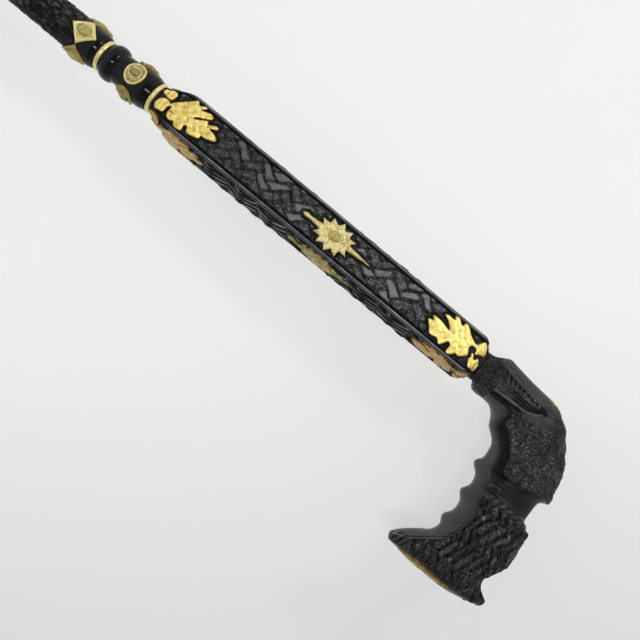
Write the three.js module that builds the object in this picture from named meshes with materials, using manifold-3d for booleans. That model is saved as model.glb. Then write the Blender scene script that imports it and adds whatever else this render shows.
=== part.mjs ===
// Carved ebony walking stick with gilt mounts and green cabochons, in millimetres.
// The tip stands on the origin, +Z runs up the shaft and the handle reaches out along +X.
import * as THREE from 'three';
import { mergeVertices } from 'three/addons/utils/BufferGeometryUtils.js';
import Module from 'manifold-3d';

const wasm = await Module();
wasm.setup();

// Clearances and cutting
const seatGap = 0.3;
const cutOverrun = 2;
const faceCount = 4;
const faceNames = ['front', 'right', 'back', 'left'];

// Tip and ferrule at the foot of the stick
const tipRadius = 6.4;
const tipHeight = 4.5;
const tipChamfer = 0.8;
const tipStemRadius = 2.4;
const tipStemLength = 9;
const ferruleLength = 34;
const ferruleFootRadius = 7.1;
const ferruleMouthRadius = 8.5;
const ferruleWall = 0.9;
const ferruleFloor = 5;
const ferruleBeadRadius = 0.8;
const ferruleBeadDegrees = [-45, 0, 45];
const ferrulePinRadius = 0.9;
const ferrulePinHeight = 24;

// Lower shaft, from the ferrule to the lower ring
const lowerShaftLength = 501;
const lowerShaftFootRadius = 8.4;
const lowerShaftHeadRadius = 11.6;
const lowerShaftNeckRadius = 10.4;
const lowerShaftNeckLength = 4;
const barkWaveDepth = 0.35;
const barkWaveLength = 52;
const barkStart = 34;
const barkTwists = 2;

// Rings, knop and the rod that draws them together
const ringRadius = 10.2;
const lowerRingHeight = 4.1;
const upperRingHeight = 3.5;
const knopHeight = 37;
const knopRadius = 11.6;
const knopWaistRadius = 9.7;
const knopBeadRadius = 11.9;
const knopBeadHeight = 5.7;
const knopBeadHalfHeight = 4.4;
const knopUrnShares = [
  [0, 0.1], [0.3, 0], [0.42, 0.1], [0.62, 0.75], [0.78, 1], [0.9, 0.85], [0.96, 0.45], [1, 0.1],
];
const rodRadius = 3.5;
const rodEmbedment = 28;

// Upper shaft, square in section with a beaded corner
const upperShaftLength = 248;
const squareHalfAtKnop = 13.5;
const squareHalfAtHandle = 12.8;
const cornerBeadRadius = 1.7;
const cornerBeadFrom = -35;
const cornerBeadTo = 125;
const cornerBeadSteps = 4;
const quirkWidth = 0.8;
const quirkDepth = 1.3;
const panelDepth = 0.6;
const knopShoulderLength = 23;
const knopShoulderRadius = 9.8;
const knopShoulderPower = 1.3;
const handleShoulderLength = 8;
const handleShoulderRadius = 9.8;
const handleShoulderShares = [[0, 0.95], [0.4, 0.75], [0.6, 0.25], [1, 0]];

// Oak leaves and acorn sprigs, laid on the panels at both ends of the upper shaft
const mountThickness = 1.3;
const leafWidth = 20.6;
const hiltLeafLength = 29.5;
const hiltLeafSetback = 11.8;
const knopLeafLength = 33.6;
const knopLeafSetback = 11.2;
const acornRadius = 3.7;
const acornHeight = 2.4;
const acornShares = [[0, -1], [0.72, -0.72], [1, -0.1], [1.13, 0], [1.1, 0.42], [0, 0.8]];
const twigWidth = 1.7;
const hiltAcornSetback = 5.7;
const knopAcornSetback = 6.3;
const acornSpread = 4.6;

// Stars at the middle of the upper shaft
const starDrop = 113;
const starUpperRay = 26.5;
const starLowerRay = 23.5;
const starTipHalfWidth = 10.4;
const starTipHalfHeight = 13.8;
const starNotchHalfWidth = 7.2;
const starNotchHalfHeight = 10.2;
const starRays = 12;
const starSpearShares = [[-0.14, 0.75], [-0.2, 0.9], [0, 1], [0.2, 0.9], [0.14, 0.75]];

// Rosettes on the knop and lozenges below the lower ring
const rosetteRadius = 6.7;
const rosetteRimWidth = 1.3;
const rosetteDrop = 14;
const rosetteThickness = 0.9;
const rosetteRimHeight = 1.5;
const lozengeHalfWidth = 8;
const lozengeHalfHeight = 9.1;
const lozengeDrop = 12.2;
const lozengeBorder = 1.5;
const lozengeThickness = 0.8;

// Cabochon stones and the collets that hold them
const colletWall = 0.9;
const colletHeight = 1.9;
const stoneHeight = 2.6;
const starStone = [2.7, 3.9];
const rosetteStone = [2.1, 3.2];
const lozengeStone = [2.8, 4.7];
const backStone = [3, 4.2];

// Handle, carved from one block
const handleReach = 111;
const handleRise = 81.3;
const gripHalfDepth = 13.6;
const gripFlatness = 2.4;
const keelShare = 0.2;
const carvingRelief = 1.3;
const carvingEdgeWidth = 2;
const fingerPitch = 17.6;
const firstFingerRidge = 45.6;
const fingerRidgeDepth = 3.7;
const fingerRidgeWidth = 3.9;
const fingerRidgeShares = [1.15, 0.95, 0.85];
const screwRadius = 4;
const screwEmbedment = 27;
const backStonePocket = 1.6;
const backStoneHeight = 48.5;

// Gold plate that closes the end of the handle
const endPlateHalfHeight = 20.6;
const endPlateHalfWidth = 10.8;
const endPlateEdge = 1.4;
const endPlateCrown = 1.9;
const endPlateRecess = 0.8;
const endPlateHeight = 46;

// Facets of the round pieces
const roundFacets = 24;
const mountFacets = 16;
const smallFacets = 10;
const stoneSteps = 5;
const acornFacets = 7;
const rosetteFacets = 10;
const handleFacets = 20;
const handleRingsPerStation = 2;
const shoulderSteps = 5;
const rimSteps = 4;
const knopSteps = 14;
const mountSteps = 8;
const headSteps = 6;
const barkSteps = 26;
const barkFacets = 16;
const crownSteps = 5;

// How far a mount's outline is carried out from the axis before it is trimmed to the wood
const mountReach = 2 * squareHalfAtKnop;

// Heights of the joints between pieces
const ferruleBottom = tipHeight;
const ferruleTop = ferruleBottom + ferruleLength;
const lowerShaftBottom = ferruleBottom + ferruleFloor + seatGap;
const lowerShaftTop = ferruleTop + lowerShaftLength;
const lowerRingTop = lowerShaftTop + lowerRingHeight;
const knopTop = lowerRingTop + knopHeight;
const upperRingTop = knopTop + upperRingHeight;
const upperShaftTop = upperRingTop + upperShaftLength;

// Materials
const ebony = new THREE.MeshStandardMaterial({ color: 0x19181b, roughness: 0.38, metalness: 0 });
const gilt = new THREE.MeshStandardMaterial({ color: 0xe6c04a, roughness: 0.35, metalness: 1 });
const paleGold = new THREE.MeshStandardMaterial({ color: 0xd9bf7c, roughness: 0.38, metalness: 1 });
const stone = new THREE.MeshStandardMaterial({ color: 0x7c8a2e, roughness: 0.12, metalness: 0 });
const brass = new THREE.MeshStandardMaterial({ color: 0xb08a45, roughness: 0.4, metalness: 1 });
const steel = new THREE.MeshStandardMaterial({ color: 0x8b8d90, roughness: 0.35, metalness: 1 });

const stick = new THREE.Group();
stick.name = 'walking_stick';

// Adds a piece to the stick, turned to one of the four faces when a face is given
function addPiece(name, geometry, material, face = 0) {
  const mesh = new THREE.Mesh(geometry, material);
  mesh.name = name;
  mesh.rotation.z = (face * Math.PI * 2) / faceCount;
  stick.add(mesh);
}

// Solid for cutting and joining, from any closed geometry
function solidFrom(geometry) {
  const bare = geometry.clone();
  bare.deleteAttribute('normal');
  bare.deleteAttribute('uv');
  const merged = mergeVertices(bare);
  return new wasm.Manifold(new wasm.Mesh({
    numProp: 3,
    vertProperties: new Float32Array(merged.attributes.position.array),
    triVerts: new Uint32Array(merged.index.array),
  }));
}

// Geometry of a cut or joined solid
function geometryFrom(solid) {
  const mesh = solid.getMesh();
  const geometry = new THREE.BufferGeometry();
  geometry.setAttribute('position', new THREE.BufferAttribute(new Float32Array(mesh.vertProperties), 3));
  geometry.setIndex(new THREE.BufferAttribute(new Uint32Array(mesh.triVerts), 1));
  const facets = geometry.toNonIndexed();
  facets.computeVertexNormals();
  return facets;
}

// Closed body through a row of rings that turn counter-clockwise about the direction of travel
function loftGeometry(rings) {
  const count = rings[0].length;
  const points = rings.flat();
  const index = [];
  for (let i = 0; i + 1 < rings.length; i++) {
    for (let j = 0; j < count; j++) {
      const a = i * count + j;
      const b = i * count + ((j + 1) % count);
      index.push(a, b, b + count, a, b + count, a + count);
    }
  }
  const first = points.length;
  points.push(ringCentre(rings[0]), ringCentre(rings[rings.length - 1]));
  const lastRing = (rings.length - 1) * count;
  for (let j = 0; j < count; j++) {
    const next = (j + 1) % count;
    index.push(first, next, j);
    index.push(first + 1, lastRing + j, lastRing + next);
  }
  const geometry = new THREE.BufferGeometry().setFromPoints(points);
  geometry.setIndex(index);
  geometry.computeVertexNormals();
  return geometry;
}

function ringCentre(ring) {
  const sum = new THREE.Vector3();
  for (const point of ring) {
    sum.add(point);
  }
  return sum.divideScalar(ring.length);
}

// Body turned about the Z axis from [radius, height] pairs, listed from the bottom up
function turned(profile, facets = roundFacets) {
  const geometry = new THREE.LatheGeometry(profile.map(([r, z]) => new THREE.Vector2(r, z)), facets);
  return geometry.rotateX(Math.PI / 2);
}

// Plain round bar between two heights on the axis of the shaft
function bar(radius, bottom, top) {
  return turned([[0, bottom], [radius, bottom], [radius, top], [0, top]], smallFacets);
}

function smoothStep(low, high, value) {
  return THREE.MathUtils.smoothstep(value, low, high);
}

// Height of a broken line, given as [place, height] pairs, at one place
function alongLine(pairs, place) {
  let k = 1;
  while (k < pairs.length - 1 && pairs[k][0] < place) {
    k++;
  }
  const [x0, y0] = pairs[k - 1];
  const [x1, y1] = pairs[k];
  const t = THREE.MathUtils.clamp((place - x0) / (x1 - x0), 0, 1);
  return y0 + (y1 - y0) * t;
}

// Upper shaft

// How far the section has turned from square to round at a height, 0 to 1
function shoulderRoundness(z) {
  const fromKnop = THREE.MathUtils.clamp((z - upperRingTop) / knopShoulderLength, 0, 1);
  const fromHandle = THREE.MathUtils.clamp((upperShaftTop - z) / handleShoulderLength, 0, 1);
  const knopEnd = 1 - Math.pow(Math.sin((fromKnop * Math.PI) / 2), knopShoulderPower);
  const handleEnd = alongLine(handleShoulderShares, fromHandle);
  return [Math.max(knopEnd, handleEnd), knopEnd > handleEnd ? knopShoulderRadius : handleShoulderRadius];
}

function squareHalf(z) {
  const t = (z - upperRingTop) / upperShaftLength;
  return squareHalfAtKnop + (squareHalfAtHandle - squareHalfAtKnop) * t;
}

// Distance from the axis to the middle of a face at a height
function faceReach(z) {
  const [roundness, radius] = shoulderRoundness(z);
  return THREE.MathUtils.lerp(squareHalf(z) - panelDepth, radius, roundness);
}

// One corner of the section: panel, quirk, round bead, quirk, panel
function cornerProfile(half) {
  const beadCentre = half - cornerBeadRadius;
  const quirkAcross = half - 2 * cornerBeadRadius - quirkWidth / 2;
  const panelAcross = half - 2 * cornerBeadRadius - quirkWidth;
  const floor = half - panelDepth;
  const side = [[floor, 0], [floor, panelAcross], [half - quirkDepth, quirkAcross]];
  const bead = [];
  for (let i = 0; i <= cornerBeadSteps; i++) {
    const degrees = THREE.MathUtils.lerp(cornerBeadFrom, cornerBeadTo, i / cornerBeadSteps);
    const angle = THREE.MathUtils.degToRad(degrees);
    const reach = cornerBeadRadius;
    bead.push([beadCentre + reach * Math.cos(angle), beadCentre + reach * Math.sin(angle)]);
  }
  const back = [side[2], side[1]].map(([x, y]) => [y, x]);
  return [...side, ...bead, ...back];
}

// Section of the upper shaft at a height, grown outwards by an offset
function shaftRing(z, offset) {
  const half = squareHalf(z);
  const [roundness, radius] = shoulderRoundness(z);
  const corner = cornerProfile(half);
  const ring = [];
  for (let k = 0; k < faceCount; k++) {
    const turn = (k * Math.PI * 2) / faceCount;
    for (const [x, y] of corner) {
      const reach = Math.hypot(x, y);
      const grown = THREE.MathUtils.lerp(reach, radius, roundness) + (offset * reach) / Math.max(x, y);
      const angle = Math.atan2(y, x) + turn;
      ring.push(new THREE.Vector3(grown * Math.cos(angle), grown * Math.sin(angle), z));
    }
  }
  return ring;
}

function shaftLevels() {
  const levels = [];
  for (let i = 0; i <= shoulderSteps; i++) {
    levels.push(upperRingTop + (knopShoulderLength * i) / shoulderSteps);
  }
  for (const [share] of [...handleShoulderShares].reverse()) {
    levels.push(upperShaftTop - handleShoulderLength * share);
  }
  return levels;
}

function shaftBody(offset) {
  return loftGeometry(shaftLevels().map((z) => shaftRing(z, offset)));
}

function upperShaft() {
  const rodEnd = upperRingTop + rodEmbedment + seatGap;
  const screwEnd = upperShaftTop - screwEmbedment - seatGap;
  const rodHole = solidFrom(bar(rodRadius + seatGap, upperRingTop - cutOverrun, rodEnd));
  const screwHole = solidFrom(bar(screwRadius + seatGap, screwEnd, upperShaftTop + cutOverrun));
  return geometryFrom(solidFrom(shaftBody(0)).subtract(rodHole).subtract(screwHole));
}

addPiece('upper_shaft', upperShaft(), ebony);

// Mounts on a face

// Prism of an outline drawn on the front face, [across, up], from the axis plane out past the wood
function facePrism(outline) {
  const shape = new THREE.Shape(outline.map(([x, z]) => new THREE.Vector2(x, z)));
  const prism = new THREE.ExtrudeGeometry(shape, { depth: mountReach, bevelEnabled: false });
  return solidFrom(prism.rotateX(Math.PI / 2));
}

// Outline round a stone and its collet wall, grown by an offset
function colletOutline([halfWidth, halfHeight], offset) {
  return ovalOutline(halfWidth + colletWall + offset, halfHeight + colletWall + offset, 0);
}

function ovalOutline(halfWidth, halfHeight, centre, facets = smallFacets) {
  const outline = [];
  for (let i = 0; i < facets; i++) {
    const angle = (i * Math.PI * 2) / facets;
    outline.push([halfWidth * Math.cos(angle), centre + halfHeight * Math.sin(angle)]);
  }
  return outline;
}

// Part of the space within a thickness of the wood that an outline covers
function skinPiece(outline, body, thickness) {
  return facePrism(outline).intersect(solidFrom(body(seatGap + thickness)));
}

const shaftSeat = solidFrom(shaftBody(seatGap));

// Oak leaf outlines from the stalk round the leaf, as [along, across] shares of its length and half width
const hiltLeafShares = [
  [-0.02, -0.42], [0.14, -0.68], [0.28, -1.0], [0.37, -1.02], [0.4, -0.8], [0.52, -1.02], [0.61, -0.98],
  [0.58, -0.78], [0.74, -0.76], [0.78, -0.64], [0.66, -0.48], [0.54, -0.1], [0.8, -0.24], [0.96, -0.2],
  [0.9, 0.02], [1.0, 0.14], [0.9, 0.46], [0.8, 0.78], [0.64, 0.72], [0.55, 0.92], [0.49, 0.78],
  [0.42, 0.46], [0.35, 0.56], [0.34, 0.98], [0.26, 1.0], [0.17, 0.72], [0.1, 0.74], [0.0, 0.5],
  [-0.03, 0.3], [0.03, -0.08],
];
const knopLeafShares = [
  [-0.04, 0.02], [0.08, -0.4], [0.2, -0.78], [0.29, -1.08], [0.36, -0.9], [0.46, -1.08], [0.5, -1.02],
  [0.44, -0.76], [0.62, -0.94], [0.69, -0.84], [0.68, -0.66], [0.46, -0.22], [0.47, -0.1], [0.66, -0.5],
  [0.7, -0.34], [0.84, -0.58], [0.9, -0.46], [0.78, -0.2], [0.9, -0.12], [1.0, 0.08], [0.96, 0.26],
  [0.82, 0.42], [0.75, 0.42], [0.74, 0.68], [0.6, 0.82], [0.51, 0.84], [0.46, 0.56], [0.4, 0.6],
  [0.41, 0.98], [0.27, 1.04], [0.21, 0.82], [0.12, 0.9], [0.02, 0.7], [0.0, 0.2],
];

// Closed body of one or more mounts, cut clear of the wood below
function mountGeometry(parts, seat) {
  return geometryFrom(parts.reduce((whole, part) => whole.add(part)).subtract(seat));
}

// Leaf laid on the front face, its stalk at a height and its tip above (1) or below (-1) it
function leaf(shares, length, stalkHeight, way) {
  const half = leafWidth / 2;
  const outline = shares.map(([along, across]) => [across * half, stalkHeight + way * along * length]);
  return mountGeometry([skinPiece(outline, shaftBody, mountThickness)], shaftSeat);
}

// Two acorns on a forked twig, their cups towards the leaf, above (1) or below (-1) them
function acornSprig(centreHeight, way) {
  const above = faceReach(centreHeight + acornRadius);
  const below = faceReach(centreHeight - acornRadius);
  const lean = Math.atan2(above - below, 2 * acornRadius);
  const surface = (above + below) / 2;
  const forms = [];
  const profile = acornShares.map(([radius, along]) => [radius * acornRadius, way * along * acornRadius]);
  if (way < 0) {
    profile.reverse();
  }
  for (const side of [-1, 1]) {
    const nut = turned(profile, acornFacets).scale(1, acornHeight / acornRadius, 1).rotateX(lean);
    forms.push(solidFrom(nut.translate(side * acornSpread, -surface, centreHeight)));
  }
  const near = centreHeight + (way * acornRadius) / 2;
  const far = near + way * twigWidth;
  const bottom = Math.min(near, far);
  const top = Math.max(near, far);
  const twig = [[-acornSpread, bottom], [acornSpread, bottom], [acornSpread, top], [-acornSpread, top]];
  forms.push(skinPiece(twig, shaftBody, mountThickness));
  return mountGeometry(forms, shaftSeat);
}

// Star with short rays on an oval and two long rays along the shaft, the lower one ending in a spear
function starOutline(centre) {
  const outline = [];
  const step = (Math.PI * 2) / starRays;
  for (let k = 0; k < starRays; k++) {
    const tip = k * step - Math.PI / 2;
    const notch = tip + step / 2;
    if (k === 0) {
      const spear = starSpearShares.map(([x, z]) => [x * starNotchHalfWidth, centre - z * starLowerRay]);
      outline.push(...spear);
    } else if (k === starRays / 2) {
      outline.push([0, centre + starUpperRay]);
    } else {
      outline.push([starTipHalfWidth * Math.cos(tip), centre + starTipHalfHeight * Math.sin(tip)]);
    }
    outline.push([starNotchHalfWidth * Math.cos(notch), centre + starNotchHalfHeight * Math.sin(notch)]);
  }
  return outline;
}

// Plate of an outline with a raised oval collet for a stone
function stoneMount(outline, body, thickness, stoneSize, centre, extras = []) {
  const [halfWidth, halfHeight] = stoneSize;
  const wall = ovalOutline(halfWidth + colletWall, halfHeight + colletWall, centre);
  const collar = skinPiece(wall, body, colletHeight);
  const well = facePrism(ovalOutline(halfWidth, halfHeight, centre));
  const parts = [skinPiece(outline, body, thickness), collar.subtract(well), ...extras];
  return mountGeometry(parts, solidFrom(body(seatGap)));
}

// Domed oval stone that stands on the plate inside its collet
function cabochon(body, surface, thickness, stoneSize, centre) {
  const [halfWidth, halfHeight] = stoneSize;
  const dome = new THREE.SphereGeometry(1, smallFacets, stoneSteps);
  dome.scale(halfWidth - seatGap, stoneHeight + thickness, halfHeight - seatGap);
  dome.translate(0, -surface, centre);
  return geometryFrom(solidFrom(dome).subtract(solidFrom(body(thickness + 2 * seatGap))));
}

const starCentre = upperShaftTop - starDrop;
const starSurface = faceReach(starCentre);
const hiltStalk = upperShaftTop - hiltLeafSetback;
const knopStalk = upperRingTop + knopLeafSetback;
for (let face = 0; face < faceCount; face++) {
  const side = faceNames[face];
  addPiece(`hilt_leaf_${side}`, leaf(hiltLeafShares, hiltLeafLength, hiltStalk, -1), gilt, face);
  addPiece(`hilt_acorns_${side}`, acornSprig(upperShaftTop - hiltAcornSetback, -1), gilt, face);
  addPiece(`knop_leaf_${side}`, leaf(knopLeafShares, knopLeafLength, knopStalk, 1), gilt, face);
  addPiece(`knop_acorns_${side}`, acornSprig(upperRingTop + knopAcornSetback, 1), gilt, face);
  const star = stoneMount(starOutline(starCentre), shaftBody, mountThickness, starStone, starCentre);
  addPiece(`star_${side}`, star, paleGold, face);
  const starGem = cabochon(shaftBody, starSurface, mountThickness, starStone, starCentre);
  addPiece(`star_stone_${side}`, starGem, stone, face);
}

// Rings, knop and its rosettes

// Ring with a rounded rim, bored for the rod
function ring(bottom, top) {
  const middle = (bottom + top) / 2;
  const half = (top - bottom) / 2;
  const bore = rodRadius + seatGap;
  const profile = [[bore, bottom]];
  for (let i = 0; i <= rimSteps; i++) {
    const angle = (i / rimSteps - 1 / 2) * Math.PI;
    profile.push([ringRadius - half + half * Math.cos(angle), middle + half * Math.sin(angle)]);
  }
  profile.push([bore, top], [bore, bottom]);
  return turned(profile);
}

// Radius of the knop at a height above the lower ring
function knopRadiusAt(height) {
  const urn = alongLine(knopUrnShares, height / knopHeight);
  const fromBead = (height - knopBeadHeight) / knopBeadHalfHeight;
  const bead = Math.abs(fromBead) < 1 ? Math.sqrt(1 - fromBead * fromBead) : 0;
  const base = knopWaistRadius + (knopRadius - knopWaistRadius) * urn;
  return Math.max(base, knopWaistRadius + (knopBeadRadius - knopWaistRadius) * bead);
}

function knopBody(offset, steps = mountSteps, facets = mountFacets) {
  const profile = [[0, lowerRingTop]];
  for (let i = 0; i <= steps; i++) {
    const height = (knopHeight * i) / steps;
    profile.push([knopRadiusAt(height) + offset, lowerRingTop + height]);
  }
  profile.push([0, knopTop]);
  return turned(profile, facets);
}

const rodBottom = lowerShaftTop - rodEmbedment;
const rodTop = upperRingTop + rodEmbedment;
const rodBore = solidFrom(bar(rodRadius + seatGap, rodBottom - seatGap, rodTop + seatGap));
addPiece('knop', geometryFrom(solidFrom(knopBody(0, knopSteps, roundFacets)).subtract(rodBore)), ebony);
addPiece('knop_rod', bar(rodRadius, rodBottom, rodTop), steel);
addPiece('lower_ring', ring(lowerShaftTop, lowerRingTop), paleGold);
addPiece('upper_ring', ring(knopTop, upperRingTop), paleGold);

const rosetteCentre = knopTop - rosetteDrop;
const rosetteSurface = knopRadiusAt(knopHeight - rosetteDrop);
const rosetteField = rosetteRadius - rosetteRimWidth;
for (let face = 0; face < faceCount; face++) {
  const outline = ovalOutline(rosetteRadius, rosetteRadius, rosetteCentre, rosetteFacets);
  const inside = ovalOutline(rosetteField, rosetteField, rosetteCentre, rosetteFacets);
  const rim = skinPiece(outline, knopBody, rosetteRimHeight).subtract(facePrism(inside));
  const rosette = stoneMount(outline, knopBody, rosetteThickness, rosetteStone, rosetteCentre, [rim]);
  addPiece(`rosette_${faceNames[face]}`, rosette, paleGold, face);
  const gem = cabochon(knopBody, rosetteSurface, rosetteThickness, rosetteStone, rosetteCentre);
  addPiece(`rosette_stone_${faceNames[face]}`, gem, stone, face);
}

// Lower shaft

// Cross pin through the ferrule and the wood, grown by a clearance and lengthened at both ends
function pinBar(grow, overrun) {
  const height = ferruleBottom + ferrulePinHeight;
  const share = ferrulePinHeight / ferruleLength;
  const reach = THREE.MathUtils.lerp(ferruleFootRadius, ferruleMouthRadius, share);
  const radius = ferrulePinRadius + grow;
  const pin = new THREE.CylinderGeometry(radius, radius, 2 * (reach + overrun), smallFacets);
  return pin.translate(0, 0, height);
}

// Radius of the lower shaft at a distance below its top, with the waves of the carved bark
function lowerShaftRadius(below, angle) {
  const neck = Math.sin(Math.min(1, below / lowerShaftNeckLength) * (Math.PI / 2));
  const head = lowerShaftNeckRadius + (lowerShaftHeadRadius - lowerShaftNeckRadius) * neck;
  const taper = Math.max(0, (below - barkStart) / (lowerShaftLength - barkStart));
  const bark = barkWaveDepth * smoothStep(barkStart, barkStart + barkWaveLength, below);
  const wave = Math.sin((below / barkWaveLength) * Math.PI * 2 + angle * barkTwists);
  return head + (lowerShaftFootRadius - lowerShaftHeadRadius) * taper + bark * wave;
}

function lowerShaftRing(z, offset) {
  const below = lowerShaftTop - z;
  const points = [];
  for (let j = 0; j < barkFacets; j++) {
    const angle = (j * Math.PI * 2) / barkFacets;
    const reach = lowerShaftRadius(below, angle) + offset;
    points.push(new THREE.Vector3(reach * Math.cos(angle), reach * Math.sin(angle), z));
  }
  return points;
}

// Upper part of the lower shaft, where the lozenges sit
function lowerShaftHead(offset) {
  const levels = [];
  for (let i = 0; i <= headSteps; i++) {
    levels.push(lowerShaftTop - barkStart * (1 - i / headSteps));
  }
  return loftGeometry(levels.map((z) => lowerShaftRing(z, offset)));
}

function lowerShaft() {
  const tenonRadius = ferruleMouthRadius - ferruleWall - seatGap;
  const tenonFoot = ferruleFootRadius - ferruleWall - seatGap;
  const tenonTop = ferruleTop + cutOverrun;
  const tenon = turned([
    [0, lowerShaftBottom], [tenonFoot, lowerShaftBottom], [tenonRadius, tenonTop], [0, tenonTop],
  ]);
  const rings = [];
  for (let i = 0; i <= barkSteps; i++) {
    rings.push(lowerShaftRing(ferruleTop + ((lowerShaftLength - barkStart) * i) / barkSteps, 0));
  }
  for (let i = 1; i <= headSteps; i++) {
    rings.push(lowerShaftRing(lowerShaftTop - barkStart * (1 - i / headSteps), 0));
  }
  const stem = bar(tipStemRadius + seatGap, tipHeight, tipHeight + tipStemLength + seatGap);
  const whole = solidFrom(loftGeometry(rings)).add(solidFrom(tenon));
  const holes = [rodBore, solidFrom(stem), solidFrom(pinBar(seatGap, cutOverrun))];
  return geometryFrom(holes.reduce((wood, hole) => wood.subtract(hole), whole));
}

addPiece('lower_shaft', lowerShaft(), ebony);

const lozengeCentre = lowerShaftTop - lozengeDrop;
function diamond(halfWidth, halfHeight) {
  const bottom = lozengeCentre - halfHeight;
  const top = lozengeCentre + halfHeight;
  return [[0, bottom], [halfWidth, lozengeCentre], [0, top], [-halfWidth, lozengeCentre]];
}
for (let face = 0; face < faceCount; face++) {
  const outline = diamond(lozengeHalfWidth, lozengeHalfHeight);
  const inside = diamond(lozengeHalfWidth - lozengeBorder, lozengeHalfHeight - lozengeBorder);
  const border = skinPiece(outline, lowerShaftHead, mountThickness).subtract(facePrism(inside));
  const placed = [lozengeThickness, lozengeStone, lozengeCentre];
  const lozenge = stoneMount(outline, lowerShaftHead, ...placed, [border]);
  addPiece(`lozenge_${faceNames[face]}`, lozenge, paleGold, face);
  const gem = cabochon(lowerShaftHead, lowerShaftHeadRadius, ...placed);
  addPiece(`lozenge_stone_${faceNames[face]}`, gem, stone, face);
}

// Tip, ferrule and its pin

const ferruleMouthBore = ferruleMouthRadius - ferruleWall;
const ferruleFootBore = ferruleFootRadius - ferruleWall;
const stemBore = tipStemRadius + seatGap;

function ferrule() {
  const beadCentre = ferruleTop - ferruleBeadRadius;
  const profile = [[stemBore, ferruleBottom], [ferruleFootRadius, ferruleBottom],
    [ferruleMouthRadius, beadCentre - ferruleBeadRadius]];
  for (const degrees of ferruleBeadDegrees) {
    const angle = THREE.MathUtils.degToRad(degrees);
    profile.push([ferruleMouthRadius + ferruleBeadRadius * Math.cos(angle),
      beadCentre + ferruleBeadRadius * Math.sin(angle)]);
  }
  profile.push([ferruleMouthRadius, ferruleTop], [ferruleMouthBore, ferruleTop],
    [ferruleFootBore, ferruleBottom + ferruleFloor], [stemBore, ferruleBottom + ferruleFloor],
    [stemBore, ferruleBottom]);
  return geometryFrom(solidFrom(turned(profile)).subtract(solidFrom(pinBar(seatGap, cutOverrun))));
}

addPiece('ferrule', ferrule(), brass);
addPiece('ferrule_pin', pinBar(0, 0), brass);
const stemTop = tipHeight + tipStemLength;
addPiece('tip', turned([
  [0, 0], [tipRadius - tipChamfer, 0], [tipRadius, tipChamfer], [tipRadius, tipHeight],
  [tipStemRadius, tipHeight], [tipStemRadius, stemTop], [0, stemTop],
]), steel);

// Handle

// Side outline of the handle from the neck to the butt: back edge and finger edge, as shares of its reach
// and rise, and the half depth there as a share of the grip's
const handleStationShares = [
  [-0.086, 0.0, 0.083, 0.0, 0.7],
  [-0.092, 0.049, 0.084, 0.031, 0.69],
  [-0.119, 0.111, 0.114, 0.052, 0.75],
  [-0.133, 0.154, 0.123, 0.098, 0.81],
  [-0.125, 0.221, 0.121, 0.172, 0.85],
  [-0.114, 0.332, 0.128, 0.231, 0.87],
  [-0.106, 0.443, 0.155, 0.274, 0.89],
  [-0.099, 0.554, 0.187, 0.298, 0.9],
  [-0.077, 0.658, 0.213, 0.315, 0.91],
  [-0.032, 0.742, 0.234, 0.348, 0.92],
  [0.032, 0.822, 0.258, 0.386, 0.93],
  [0.115, 0.889, 0.286, 0.411, 0.94],
  [0.216, 0.942, 0.317, 0.418, 0.95],
  [0.314, 0.968, 0.347, 0.423, 0.95],
  [0.348, 0.947, 0.369, 0.428, 0.92],
  [0.378, 0.914, 0.396, 0.434, 0.85],
  [0.437, 0.909, 0.444, 0.448, 0.82],
  [0.492, 0.911, 0.494, 0.46, 0.84],
  [0.516, 0.938, 0.518, 0.464, 0.93],
  [0.551, 0.974, 0.552, 0.469, 0.99],
  [0.622, 0.979, 0.622, 0.476, 1.0],
  [0.716, 0.986, 0.712, 0.472, 1.0],
  [0.788, 0.954, 0.779, 0.459, 0.98],
  [0.843, 0.904, 0.827, 0.424, 0.96],
  [0.883, 0.903, 0.86, 0.364, 0.96],
  [0.917, 0.947, 0.897, 0.301, 0.97],
  [0.942, 1.0, 0.935, 0.248, 0.98],
  [0.968, 0.995, 0.969, 0.216, 0.98],
  [1.0, 0.84, 1.0, 0.24, 0.9],
];

// Lower edge of the carved covering, below which the grip is plain and polished
const carvingEdgeShares = [
  [0.18, 0.3], [0.235, 0.47], [0.3, 0.525], [0.39, 0.555], [0.52, 0.55], [0.6, 0.555], [0.72, 0.545],
  [0.8, 0.51], [0.84, 0.455], [0.875, 0.38], [0.917, 0.32], [0.96, 0.24], [1.0, 0.2],
];
const waistShares = [0.395, 0.5];

// Values between two table rows, on a smooth curve through the rows around them
function stationAt(place) {
  const last = handleStationShares.length - 1;
  const k = Math.min(Math.floor(place), last - 1);
  const t = place - k;
  const rows = [-1, 0, 1, 2].map((step) => handleStationShares[THREE.MathUtils.clamp(k + step, 0, last)]);
  return rows[0].map((_, i) => {
    const [a, b, c, d] = rows.map((row) => row[i]);
    const bend = (2 * a - 5 * b + 4 * c - d) * t * t + (3 * b - a - 3 * c + d) * t * t * t;
    return (2 * b + (c - a) * t + bend) / 2;
  });
}

// How far the ridges between the fingers stand below the grip at a distance along it
function fingerRidge(x) {
  return fingerRidgeShares.reduce((sum, share, i) => {
    const away = (x - firstFingerRidge - i * fingerPitch) / fingerRidgeWidth;
    return sum + fingerRidgeDepth * share * Math.exp(-away * away);
  }, 0);
}

// 1 where the handle is carved, 0 on the polished grip and the waist, with soft steps between
function carved(x, z) {
  const edge = handleRise * alongLine(carvingEdgeShares, x / handleReach);
  const beside = x < handleReach * carvingEdgeShares[0][0];
  const above = beside ? 1 : smoothStep(-carvingEdgeWidth, carvingEdgeWidth, z - edge);
  const [from, to] = waistShares.map((share) => share * handleReach);
  const half = carvingEdgeWidth / 2;
  const waist = smoothStep(from - half, from + half, x) * (1 - smoothStep(to - half, to + half, x));
  return above * (1 - waist);
}

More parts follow.
